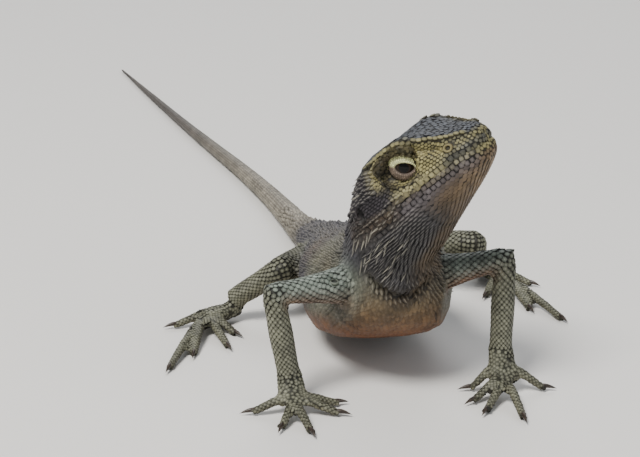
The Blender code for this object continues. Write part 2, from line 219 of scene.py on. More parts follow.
# ------------------------------------------------------------------ the head's own directions
# Everything on the head is placed from the eyes: how far back from the snout's tip, how far out to
# the animal's left, and how far up from the level of the mouth.

EYE_BACK, EYE_UP = 14.9, 3.9  # the eyes' middle behind the snout, and above the mouth
SNOUT_DIP = 1.0  # the snout's top edge, below the eyes


def middle(node):
    """The middle of a solid's box in millimetres."""
    low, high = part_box(node)
    return np.array((low + high) * 500)


def unit(v):
    """Vectors drawn to a length of one."""
    v = np.asarray(v, float)
    return v / np.maximum(np.linalg.norm(v, axis=-1, keepdims=True), 1e-12)


between_eyes = (middle("eye_left") + middle("eye_right")) / 2
head_left = unit(middle("eye_left") - middle("eye_right"))
head_solid = solid_points("head")
to_tip = head_solid[np.argmax(((head_solid - middle("neck")) ** 2).sum(1))] - between_eyes
to_tip = unit(to_tip - head_left * (to_tip @ head_left))
dip = math.atan2(SNOUT_DIP, EYE_BACK)
head_front = to_tip * math.cos(dip) + np.cross(to_tip, head_left) * math.sin(dip)
head_top = np.cross(head_front, head_left)


def on_head(points):
    """Places in the frame as (back, out, up) on the head."""
    away = np.asarray(points) - between_eyes
    return np.stack([EYE_BACK - away @ head_front, away @ head_left, EYE_UP + away @ head_top], -1)


def from_head(back, out, up):
    """The place in the frame of a spot on the head."""
    back, out, up = np.broadcast_arrays(*(np.asarray(v, float) for v in (back, out, up)))
    return (
        between_eyes
        + (EYE_BACK - back)[..., None] * head_front
        + out[..., None] * head_left
        + (up - EYE_UP)[..., None] * head_top
    )

# ------------------------------------------------------------------ forms of the head and throat
# The bony brow, the hollow under it, the shut mouth, the ear and the throat's fold. Each is a line
# or a spot along which the hide is raised or sunk.

# (back, out, up) along each line
BROW = [(22.0, 7.7, 6.6), (17.5, 8.1, 7.9), (13.5, 8.2, 8.6), (9.5, 7.1, 6.9), (5.5, 5.2, 4.8)]
BROW += [(2.6, 3.6, 4.0)]
UNDER_BROW = [(20.0, 9.3, 5.2), (17.0, 8.7, 6.6), (13.5, 8.3, 7.0), (10.0, 7.8, 5.2), (7.0, 6.6, 3.7)]
MOUTH = [(-0.4, 0.0, 0.35), (0.3, 2.0, 0.35), (2.6, 5.0, 0.5), (5.5, 6.6, 0.4), (9.5, 8.0, -0.2)]
MOUTH += [(13.5, 9.2, -1.2), (17.4, 10.3, -1.8)]
UPPER_LIP = [(back, out, up + 1.1) for back, out, up in MOUTH[2:]]
MOUTH_CORNER = [(18.6, 10.8, -0.6), (20.0, 11.2, -1.5)]
EAR = (26.6, 11.2, -0.4)
NOSTRIL = (5.4, 5.75, 3.0)
SHOULDER_PIT = (-12.8, -2.75, -5.4)  # to the right of, before and below the neck's middle
FOLD_OUT = [-6.7, -5.3, -3.0, -1.0, 1.1, 3.4, 5.5]  # the throat's fold, across from the neck's middle
FOLD_ON = [-7.8, -8.3, -8.9, -8.8, -8.5, -7.7, -6.2]
FOLD_UP = [-3.3, -5.0, -6.4, -7.4, -7.5, -6.5, -5.5]


def off_line(places, line):
    """How far each place is from a line of points."""
    line = np.asarray(line, float)
    best = np.full(len(places), 1e9)
    for a, b in zip(line, line[1:]):
        way = b - a
        t = np.clip((places - a) @ way / (way @ way), 0, 1)[:, None]
        best = np.minimum(best, np.linalg.norm(places - a - t * way, axis=1))
    return best


def bump(distance, reach):
    """1 at a line or spot, fading to nothing at about twice its reach."""
    return np.exp(-((distance / reach) ** 2))


def fold_places(points):
    """Head places with the right side laid over the left."""
    places = on_head(points)
    places[:, 1] = np.abs(places[:, 1])
    return places


pit_middle = middle("neck") + SHOULDER_PIT
throat_fold = middle("neck") + np.column_stack([FOLD_OUT, FOLD_ON, FOLD_UP])
points, edges = coordinates(hide.data), edges_of(hide.data)
places = fold_places(points)
from_pit = from_spot(points, pit_middle)
before_ear, by_ear = places[:, 0] < 24, places[:, 0] > 22
push = np.zeros(len(points))
for distance, rise, reach in (
    (off_line(places, BROW), 0.85 * before_ear, 0.65),
    (off_line(places, UNDER_BROW), -1.0 * before_ear, 0.8),
    (off_line(places, MOUTH), -0.50 * before_ear, 0.36),
    (off_line(places, UPPER_LIP), 0.22 * before_ear, 0.8),
    (off_line(places, MOUTH_CORNER), 0.45, 1.5),
    (from_spot(places, EAR, (0.9, 1.6, 1.3)), -2.4, 1.1),
    (from_spot(places, EAR, (1.0, 1.4, 1.25)) - 1.7, 0.35 * by_ear, 0.5),
    (from_spot(places, NOSTRIL), 0.30, 1.2),
    (off_line(points, throat_fold), -1.2, 0.9),
    (off_line(points, throat_fold + (0, -0.6, 1.9)), 0.5, 1.3),
    (from_pit, -0.9, 0.6),
    (from_pit - 2.0, 0.4, 0.9),
):
    push += rise * bump(distance, reach)
points += normals_of(hide.data) * eased(push, edges, 0.5, 1)[:, None]
place_points(hide.data, points)

# ------------------------------------------------------------------ rows of scales
# Scales stand in staggered rows that run along the body and down each limb. A line is found through
# the middle of each length, and rings of places are taken off the hide round that line.

POINTS_PER_MM = 2  # along every middle line
ROW_WANDER = 0.06  # how far the trunk's scales stray from their rows, as a share of their width

hide_points, hide_normals = coordinates(hide.data), normals_of(hide.data)
hide_edges = edges_of(hide.data)
hide_rings = [list(f.vertices) for f in hide.data.polygons]
hide_tree = BVHTree.FromPolygons([Vector(p) for p in hide_points], hide_rings)
hide_part = parts_at(hide_points)
ring_corner = np.array([r[0] for r in hide_rings])
number_of = {n: i for i, n in enumerate(FLESH)}


def meeting(these, those):
    """The middle of the seam where some parts meet others."""
    mine = np.isin(hide_part, [number_of[n] for n in these])
    other = np.isin(hide_part, [number_of[n] for n in those])
    a, b = hide_edges[:, 0], hide_edges[:, 1]
    seam = (mine[a] & other[b]) | (mine[b] & other[a])
    ends = hide_points[hide_edges[seam].ravel()]
    return (ends.min(0) + ends.max(0)) / 2


def middle_line(nodes, before, after, step=4.0, soften=2.5):
    """A smooth line through the middles of a chain of parts."""
    groups = [before, *([n] for n in nodes)] + ([after] if after else [])
    joints = [meeting(a, b) for a, b in zip(groups, groups[1:])]
    if not after:
        own = hide_points[hide_part == number_of[nodes[-1]]]
        joints.append(own[np.argmax(((own - joints[-1]) ** 2).sum(1))])
    line = [joints[0]]
    for node, here, there in zip(nodes, joints, joints[1:]):
        cloud = hide_points[hide_part == number_of[node]]
        length = np.linalg.norm(there - here)
        far = (cloud - here) @ unit(there - here)
        cuts = np.linspace(0, length, int(length / step) + 1)
        for low, high in zip(cuts[1:-2], cuts[2:-1]):
            slab = cloud[(far >= low) & (far <= high)]
            line.append((slab.min(0) + slab.max(0)) / 2)
        line.append(there)
    return softened(np.array(line), soften)


def softened(line, soften):
    """A line through points, evenly resampled and rounded at its corners."""
    run = np.concatenate([[0], np.cumsum(np.linalg.norm(np.diff(line, axis=0), axis=1))])
    even = np.arange(0, run[-1], 1 / POINTS_PER_MM)
    fine = np.stack([np.interp(even, run, line[:, i]) for i in range(3)], 1)
    reach = int(soften * POINTS_PER_MM * 2)
    weights = np.exp(-0.5 * (np.arange(-reach, reach + 1) / (soften * POINTS_PER_MM)) ** 2)
    weights /= weights.sum()
    before = fine[0] - (fine[1:reach + 1] - fine[0])[::-1]
    after = fine[-1] - (fine[-reach - 1:-1] - fine[-1])[::-1]
    wide = np.vstack([before, fine, after])
    return np.stack([np.convolve(wide[:, i], weights, "valid") for i in range(3)], 1)


def directions(line, first_side):
    """Along each point of a line: its run, and a side that turns with it as little as it can."""
    along = unit(np.gradient(line, axis=0))
    side = np.empty_like(line)
    held = np.asarray(first_side, float)
    for i, way in enumerate(along):
        held = unit(held - way * (held @ way))
        side[i] = held
    return along, side


def ring_round(origin, side, up, wanted, sectors):
    """One ring of the hide round a point: its loop of points, outward ways, parts, and which are real."""
    turn = np.arange(sectors) * math.tau / sectors
    ways = np.outer(np.cos(turn), side) + np.outer(np.sin(turn), up)
    spots, outs = np.zeros((sectors, 3)), np.zeros((sectors, 3))
    parts, good = np.zeros(sectors, int), np.zeros(sectors, bool)
    start = Vector(origin)
    for j in range(sectors):
        hit, _, face, _ = hide_tree.ray_cast(start, Vector(ways[j]), 40)
        if hit is not None:
            corner = ring_corner[face]
            parts[j] = hide_part[corner]
            if parts[j] in wanted:
                spots[j], outs[j], good[j] = hit, hide_normals[corner], True
    if good.sum() < 4:
        return None
    reach = np.linalg.norm(spots - origin, axis=1)
    reach = np.interp(turn, turn[good], reach[good], period=math.tau)
    return origin + ways * reach[:, None], outs, parts, good


def on_ring(ring, at):
    """The places at these distances along a ring, those that lie on real hide."""
    loop, outs, parts, good = ring
    hop = np.linalg.norm(np.roll(loop, -1, axis=0) - loop, axis=1)
    walk = np.concatenate([[0], np.cumsum(hop)])
    at = np.asarray(at) % walk[-1]
    seg = np.clip(np.searchsorted(walk, at, side="right") - 1, 0, len(loop) - 1)
    nxt = (seg + 1) % len(loop)
    share = ((at - walk[seg]) / np.maximum(hop[seg], 1e-9))[:, None]
    place = loop[seg] * (1 - share) + loop[nxt] * share
    out = outs[seg] * (1 - share) + outs[nxt] * share
    return place, out, parts[seg], good[seg] & good[nxt], walk


BODY, TAIL, LIMB, PAW, CROWN, FACE, LIP, THROAT, BROW_ROW = range(9)
PLACE, OUT, LIE, WIDE, STEP, PART, KIND = slice(0, 3), slice(3, 6), slice(6, 9), 9, 10, 11, 12
lattice = []
unevenness = np.random.default_rng(11)


def root(place, out, lie, wide, step, part, kind):
    """Keeps places for scales: where, outward, the lie, width, step to the next ring, part, kind."""
    if len(place):
        rest = [np.broadcast_to(np.asarray(v, float), (len(place),)) for v in (wide, step, part, kind)]
        lattice.append(np.column_stack([place, unit(out), np.broadcast_to(lie, place.shape), *rest]))


def ring_rows(line, first_side, nodes, wide, step, kind, sectors=64, start=0.0, end=None):
    """Rings of scale places round a line: wide and step are (share of the way, millimetres) pairs."""
    along, side = directions(line, first_side)
    length = (len(line) - 1) / POINTS_PER_MM
    wanted = {number_of[n] for n in nodes}
    run, count = start, 0
    while run < (length if end is None else end):
        pitch = np.interp(run / length, *zip(*wide))
        pace = np.interp(run / length, *zip(*step))
        i = min(int(run * POINTS_PER_MM), len(line) - 2)
        share = run * POINTS_PER_MM - i
        origin = line[i] * (1 - share) + line[i + 1] * share
        ring = ring_round(origin, side[i], np.cross(along[i], side[i]), wanted, sectors)
        if ring:
            walk = on_ring(ring, [0.0])[4][-1]
            half = int(walk / pitch / 2)
            at = (np.arange(-half, half + 1) + 0.5 * (count % 2)) * pitch
            at += unevenness.normal(0, ROW_WANDER * pitch, len(at)) if kind == BODY else 0
            place, out, part, good, _ = on_ring(ring, at[np.abs(at) <= walk / 2 + 0.01])
            root(place[good], out[good], along[i], pitch, pace, part[good], kind)
        run += pace
        count += 1


# ------------------------------------------------------------------ rows on the face and throat
# On the head the rows keep their distance from the mouth's line: lip plates along it, then the small
# scales of the cheek above and of the throat below. One row of larger plates lies on each brow.

# each row: distance from the line, width of its scales, kind
UPPER_ROWS = [(0.62, 1.12, LIP), (1.5, 0.68, FACE)]
UPPER_ROWS += [(2.1 + 0.54 * i, 0.54, FACE) for i in range(12)]
LOWER_ROWS = [(0.6, 1.02, LIP), (1.6, 1.02, LIP), (2.45, 0.72, THROAT)]
LOWER_ROWS += [(3.05 + 0.58 * i, 0.58, THROAT) for i in range(38)]
ROWS_START, ROWS_END = 1.5, 30.0  # behind the snout's tip
PACE_BACK, FACE_PACE, JAW_PACE = [0, 6, 18, 30], [0.34, 0.36, 0.4, 0.5], [0.44, 0.5, 0.6, 0.8]
CORE_BACK, CORE_UP = [0, 6, 14, 30], [0.8, 0.5, -0.5, -3.5]  # the line that the head's rings go round
MOUTH_END, JAW_OUT = 17.4, 10.3  # the mouth's corner, and how far out the rows run on behind it
BEHIND_MOUTH = [(24, -3.4), (30, -5.5)]  # (back, up)
FACE_END, CHEEK_HIGH = 17.5, 5.2  # behind the first, the cheek's rows reach no further than the second
EYE_ROOM = (4.35, 3.45)  # half the length and height that the eye and its lids fill
BROW_WIDE, BROW_STEP = 0.78, 0.5
low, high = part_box("eye_left")
LID_DOME = (high.z - low.z) * 500 + 0.42


def brow_height(back):
    """How far up the brow's ridge is at this distance behind the snout."""
    line = np.array(BROW)[::-1]
    return np.interp(back, line[:, 0], line[:, 2])


def in_orbit(places, grow=1.0):
    """Whether head places are within the eye's own room."""
    along, above = (places[:, 0] - EYE_BACK) / EYE_ROOM[0], (places[:, 2] - EYE_UP) / EYE_ROOM[1]
    return (along**2 + above**2 < grow) & (np.abs(places[:, 1]) > 4)


def in_lids(points):
    """Whether places are under the dome of an eye's lids."""
    from_eyes = [from_spot(points, middle(f"eye_{side}")) for side in ("left", "right")]
    return np.min(from_eyes, axis=0) < LID_DOME


for way in (1, -1):
    ridge = softened(from_head(*(np.array(BROW).T * np.array([[1], [way], [1]]))), 1.0)
    for spot in ridge[::-2]:
        at, _, face, _ = hide_tree.find_nearest(Vector(spot))
        corner = ring_corner[face]
        out = hide_normals[corner][None]
        root(np.array([at]), out, -head_front, BROW_WIDE, BROW_STEP, hide_part[corner], BROW_ROW)

mouth_back, mouth_out, mouth_up = np.array(MOUTH).T
behind_back, behind_up = np.array(BEHIND_MOUTH).T
head_rows = {}
jaw_parts = {number_of[n] for n in ("head", "lower_jaw", "neck")}
for rows, sense, paces in ((UPPER_ROWS, -1, FACE_PACE), (LOWER_ROWS, 1, JAW_PACE)):
    count, back = 0, ROWS_START
    while back < ROWS_END:
        core = from_head(back, 0.0, np.interp(back, CORE_BACK, CORE_UP))
        pace = np.interp(back, PACE_BACK, paces)
        ring = ring_round(core, head_top, head_left, jaw_parts, 120)
        walk = on_ring(ring, [0.0])[4]
        line_out = np.interp(back, mouth_back, mouth_out) if back < MOUTH_END else JAW_OUT
        line_up = np.interp(back, [*mouth_back, *behind_back], [*mouth_up, *behind_up])
        for way in (1, -1):
            toward = unit(from_head(back, way * line_out, line_up) - core)
            here = walk[int(np.argmax(unit(ring[0] - core) @ toward))]
            for number, (off, wide, kind) in enumerate(rows):
                beat = 3 if kind == LIP and sense < 0 else 2  # lip plates are longer than the rows above
                if (number + count) % beat:
                    continue
                place, out, part, good, _ = on_ring(ring, [here + sense * way * off])
                spot = on_head(place)[0]
                past_cheek = back > FACE_END and off > CHEEK_HIGH
                above = sense < 0 and (spot[2] > brow_height(back) - 0.3 or past_cheek)
                if not good[0] or spot[1] * way < -0.2 or above:
                    break
                if not in_orbit(spot[None])[0]:
                    head_rows.setdefault((way, sense, number), []).append(
                        (*place[0], *out[0], wide, pace * beat / 2, part[0], kind)
                    )
        back += pace
        count += 1
for row in head_rows.values():
    row = np.array(row)
    if len(row) > 2:
        run = unit(np.gradient(row[:, :3], axis=0))
        root(row[:, :3], row[:, 3:6], run, row[:, 6], row[:, 7], row[:, 8], row[:, 9])

# ------------------------------------------------------------------ rows on the trunk, tail, legs and digits
# The trunk's scales are small on the neck and widest over the hips, and the tail's shrink towards its
# tip. The legs' plates get smaller towards the paw, and each digit has short rows of its own.

SPINE = [*TRUNK, "tail_base", "tail_fore", "tail_middle", "tail_rear", "tail_tip"]
UP = (0, 0, 1)
TAIL_STARTS = 118  # where the trunk's rings give way to the tail's, along the spine
# (share of the way, millimetres): how wide the scales are, and how far apart their rings
ARM_WIDE = [(0, 1.15), (0.45, 1.1), (0.6, 0.95), (1, 0.78)]
ARM_STEP = [(0, 0.72), (0.45, 0.7), (0.6, 0.6), (1, 0.5)]
LEG_WIDE, LEG_STEP = [(0, 1.1), (0.5, 1.05), (1, 0.8)], [(0, 0.7), (1, 0.5)]
TRUNK_WIDE = [(0, 0.85), (0.12, 0.95), (0.25, 1.2), (0.4, 1.25)]
TRUNK_STEP = [(0, 0.55), (0.12, 0.62), (0.3, 0.74), (1, 0.76)]
TAIL_WIDE = [(0, 1.45), (0.35, 1.45), (0.5, 1.2), (0.7, 0.95), (0.85, 0.75), (1, 0.5)]
TAIL_STEP = [(0, 0.8), (0.5, 0.78), (1, 0.55)]
DIGIT_WIDE, DIGIT_STEP = [(0, 0.86), (1, 0.72)], [(0, 0.5), (1, 0.44)]
spine_line = middle_line(SPINE, ["head", "lower_jaw"], None)
for side in ("left", "right"):
    arm = [f"upper_arm_{side}", f"forearm_{side}"]
    arm_line = middle_line(arm, SPINE[:3], [f"hand_{side}"])
    ring_rows(arm_line, UP, arm, ARM_WIDE, ARM_STEP, LIMB, 60)
    leg = [f"thigh_{side}", f"shin_{side}"]
    leg_line = middle_line(leg, SPINE[1:5], [f"foot_{side}"])
    ring_rows(leg_line, UP, leg, LEG_WIDE, LEG_STEP, LIMB, 60)
ring_rows(spine_line, UP, SPINE[:4], TRUNK_WIDE, TRUNK_STEP, BODY, 96, 2, TAIL_STARTS)
ring_rows(spine_line, UP, SPINE[3:], TAIL_WIDE, TAIL_STEP, TAIL, 48, TAIL_STARTS)

# Each digit runs from the knuckles to its claw, so the claws' own lines point back to the knuckles.
claw_roots = []
for paw in ("hand_left", "foot_left", "hand_right", "foot_right"):
    flat = hide_points[hide_part == number_of[paw]]
    claws = [solid_points(f"claw_{paw}_{i}") for i in range(1, 6)]
    total, target = np.zeros((2, 2)), np.zeros(2)
    for claw in claws:
        way = long_way(claw)
        across = np.array([-way[1], way[0]]) / math.hypot(way[0], way[1])
        total += np.outer(across, across)
        target += across * (across @ claw.mean(0)[:2])
    knuckle = np.append(np.linalg.solve(total, target), 0)
    for claw in claws:
        far = np.linalg.norm(claw[:, :2] - knuckle[:2], axis=1)
        base = claw[far < far.min() + 0.6].mean(0)
        line = np.array([knuckle + (base - knuckle) * t for t in np.linspace(0.3, 1, 12)])
        claw_roots.append((base, unit((base - knuckle) * (1, 1, 0))))
        for spot in line:
            near = flat[np.linalg.norm(flat[:, :2] - spot[:2], axis=1) < 1.4, 2]
            spot[2] = (near.min() + near.max()) / 2 if len(near) else base[2]
        ring_rows(softened(line, 1.0), UP, [paw], DIGIT_WIDE, DIGIT_STEP, PAW, 20)
lattice = np.vstack(lattice)

# ------------------------------------------------------------------ places between the rows
# Where rows meet, scales that crowd each other are left out, and every bare spot gets one of its own.
# None grows in the eyes, ears, nostrils and shoulder pit, or under a claw.

SOCKET_PITCH, HEAD_PITCH, PAW_PITCH, LIMB_PITCH, BODY_PITCH = 0.56, 0.85, 0.74, 1.0, 1.12
CROWN_BACK, CROWN_PITCH = [0, 5, 12, 24], [0.8, 0.95, 1.2, 1.15]
ROW_ROOM, FILL_ROOM = 0.52, 0.76  # how near the next scale may be, as a share of its width
SNOUT_TIP = 1.9  # the cobbles of the crown also cover this much of the snout
EAR_ROOM, NOSTRIL_ROOM, PIT_ROOM, CLAW_ROOM = (1.4, 3.0, 1.75), 1.0, 0.9, 1.6
COLLAR_WIDER = 1.25  # the scales below the throat's fold, against the throat's own


def clear_of_others(rows, pitch_at):
    """Which rows keep clear of those before them, and which hide points have room for one more."""
    cell, grid = 1.6, {}  # millimetres, larger than any scale's own room

    def near(p, limit):
        cx, cy, cz = (int(v // cell) for v in p)
        return any(
            (p[0] - q[0]) ** 2 + (p[1] - q[1]) ** 2 + (p[2] - q[2]) ** 2 < limit * limit
            for x in (cx - 1, cx, cx + 1)
            for y in (cy - 1, cy, cy + 1)
            for z in (cz - 1, cz, cz + 1)
            for q in grid.get((x, y, z), ())
        )

    kept, more = [], []
    for i, (p, wide) in enumerate(zip(rows[:, PLACE].tolist(), rows[:, WIDE].tolist())):
        if not near(p, wide * ROW_ROOM):
            grid.setdefault(tuple(int(v // cell) for v in p), []).append(p)
            kept.append(i)
    for i in np.random.default_rng(5).permutation(len(hide_points)).tolist():
        p = hide_points[i].tolist()
        if not near(p, pitch_at[i] * FILL_ROOM):
            grid.setdefault(tuple(int(v // cell) for v in p), []).append(p)
            more.append(i)
    return np.array(kept), np.array(more)


def collar(points, part):
    """Whether places are on the front of the neck below the throat's fold."""
    fold_up = np.interp(points[:, 0], throat_fold[:, 0], throat_fold[:, 2])
    return is_part(part, "neck") & (points[:, 1] < throat_fold[3, 1] + 9) & (points[:, 2] < fold_up - 0.4)


def finder(points):
    """A tree that finds the nearest of some points."""
    tree = KDTree(len(points))
    for i, p in enumerate(points):
        tree.insert(p, i)
    tree.balance()
    return tree


nearest_root = finder(lattice[:, PLACE])
closest = np.array([nearest_root.find(p)[1] for p in hide_points])
hide_places = on_head(hide_points)
is_head = is_part(hide_part, "head", "lower_jaw")
above_brow = hide_places[:, 2] - brow_height(hide_places[:, 0])
socket = in_orbit(hide_places, 2.1) & (above_brow < -0.1)
on_crown = is_part(hide_part, "head") & (above_brow > -0.5)
is_limb = is_part(hide_part, "upper", "thigh", "forearm", "shin")
crown_pitch = np.interp(hide_places[:, 0], CROWN_BACK, CROWN_PITCH)
pitch = np.select(
    [socket, on_crown, is_head, is_part(hide_part, *PAWS), is_limb],
    [SOCKET_PITCH, crown_pitch, HEAD_PITCH, PAW_PITCH, LIMB_PITCH], BODY_PITCH,
)
pitch = eased(pitch, hide_edges, 0.5, 4)
kept, more = clear_of_others(lattice, pitch)
more = more[~in_lids(hide_points[more])]
lie_field = unit(eased(lattice[closest, LIE], hide_edges, 0.5, 12))
fill_kind = np.where(on_crown[more] & ~socket[more], CROWN, lattice[closest[more], KIND])
fill_kind[socket[more]] = FACE
fill_kind[(fill_kind == LIP) | (fill_kind == BROW_ROW)] = FACE
fill_kind[(hide_places[more, 0] < SNOUT_TIP) & is_head[more]] = CROWN
more_rows = np.column_stack([hide_points, hide_normals, lie_field, pitch, pitch * 0.6, hide_part])[more]
more_rows = np.column_stack([more_rows, fill_kind])
planted = np.vstack([lattice[kept], more_rows])
planted = planted[~in_lids(planted[:, PLACE])]
folded = fold_places(planted[:, PLACE])
in_ear = from_spot(folded, np.array(EAR) - (0.4, 0, 0), EAR_ROOM) < 1.0
in_nostril = from_spot(folded, NOSTRIL) < NOSTRIL_ROOM
in_pit = from_spot(planted[:, PLACE], pit_middle) < PIT_ROOM
in_claw = np.zeros(len(planted), bool)
for base, way in claw_roots:
    facing = np.abs(planted[:, OUT] @ way) > 0.45
    in_claw |= (from_spot(planted[:, PLACE], base) < CLAW_ROOM) & facing
planted = planted[~in_ear & ~in_nostril & ~in_pit & ~in_claw]
is_collar = collar(planted[:, PLACE], planted[:, PART].astype(int)) & (planted[:, KIND] == THROAT)
planted[is_collar, KIND] = BODY
planted[is_collar, WIDE] *= COLLAR_WIDER

# ------------------------------------------------------------------ the hide laid out flat
# For baking, the hide is cut into its parts and each is unrolled round its own long axis, a paw into
# its upper and under sides. Every scale has a small patch of its own where its root is.

SHEET_SPLIT = 8  # small charts along one side of the sheet
WIDE_CHARTS = ("head", "lower_jaw", *TRUNK)
small_spots = [(x, y) for y in range(SHEET_SPLIT) for x in range(SHEET_SPLIT) if y > 3 or (y > 1 and x > 3)]
wide_spots = [(0, 0), (2, 0), (4, 0), (6, 0), (0, 2), (2, 2)]
paw_chart = is_part(range(len(FLESH)), *PAWS)
chart_corner, chart_size = np.zeros((len(FLESH), 2)), np.ones(len(FLESH))
chart_middle, chart_axes = np.zeros((len(FLESH), 3)), np.zeros((len(FLESH), 3, 3))
chart_ends = np.zeros((len(FLESH), 2, 3))
for number, name in enumerate(FLESH):
    own = hide_points[hide_part == number]
    chart_corner[number] = (wide_spots if name in WIDE_CHARTS else small_spots).pop(0)
    chart_size[number] = 2 if name in WIDE_CHARTS else 1
    chart_middle[number] = own.mean(0)
    own = own - own.mean(0)
    chart_axes[number] = np.eye(3) if paw_chart[number] else np.linalg.eigh(np.cov(own.T))[1][:, ::-1].T
    own = own @ chart_axes[number].T
    chart_ends[number] = own.min(0), own.max(0)


def laid_flat(points, normals, part, lead=None):
    """Sheet places. lead gives, for each point, the one whose chart and side of the cut it keeps to."""
    lead = np.arange(len(points)) if lead is None else lead
    part = np.asarray(part, int)[lead]
    local = np.einsum("nij,nj->ni", chart_axes[part], points - chart_middle[part])
    share = (local - chart_ends[part, 0]) / (chart_ends[part, 1] - chart_ends[part, 0])
    turn = np.arctan2(local[:, 2], local[:, 1]) / math.tau + 0.5
    turn = turn[lead] + (turn - turn[lead] + 0.5) % 1.0 - 0.5
    paw = paw_chart[part]
    across = np.where(paw, share[:, 0] * 0.47 + 0.53 * (normals[lead, 2] < 0), turn)
    along = np.where(paw, share[:, 1], share[:, 0])
    flat = np.column_stack([across, along]) * 0.9 + 0.05
    return (chart_corner[part] + chart_size[part][:, None] * flat) / SHEET_SPLIT


def give_map(mesh, places):
    """A UV map for baking, from one place per face corner."""
    sheet_map = mesh.uv_layers.new(name="OFBake")
    sheet_map.data.foreach_set("uv", np.asarray(places, np.float32).ravel())

# ------------------------------------------------------------------ markings
# Grey-brown above with a slate crown, ochre cheeks, plum temples, a tan throat that darkens behind,
# sage limbs and a rust belly, with painted shade in the throat's fold, under the brow, in the shoulder
# pit and in the ears. One function colours the hide and every scale alike.

SLATE, OCHRE, CREAM = (0.055, 0.063, 0.078), (0.39, 0.35, 0.145), (0.37, 0.34, 0.19)
PLUM, LILAC, TAN = (0.024, 0.0195, 0.025), (0.096, 0.086, 0.094), (0.225, 0.152, 0.082)
UMBER, SAGE, MIST = (0.050, 0.034, 0.021), (0.168, 0.170, 0.120), (0.23, 0.28, 0.245)
RUST, FLANK, BONE = (0.18, 0.066, 0.022), (0.036, 0.034, 0.045), (0.50, 0.47, 0.38)
TAWNY, INK, DUN = (0.135, 0.088, 0.040), (0.045, 0.047, 0.056), (0.11, 0.08, 0.05)
TAIL_PALE, TAIL_DARK, OLIVE = (0.29, 0.262, 0.205), (0.10, 0.088, 0.082), (0.17, 0.15, 0.075)
# painted shade for the shoulder pit and the ears' hollows
PIT_SHADE, EAR_SHADE = (0.02, 0.018, 0.016), (0.01, 0.008, 0.008)
DEEPEN = 0.72  # all the colours together
CHEEK_LINE = [(8, 7, 0.9), (13, 8.4, 0.3), (18.5, 10.2, -0.4), (20, 10.8, -1.2)]
SNOUT_LINE = [(0, 1, 1.4), (2.6, 4.6, 1.5), (6.5, 6.5, 1.1)]
EYE_STRIPE = [(12, 8.4, 1.2), (15, 9.0, 0.6), (18.2, 9.6, 1.0)]
BELOW_LIPS = [(back, out, up - 1.7) for back, out, up in MOUTH[2:]]


def ramp(x, low, high):
    """0 before low and 1 past high, with a soft rise between."""
    t = np.clip((x - low) / (high - low), 0, 1)
    return t * t * (3 - 2 * t)


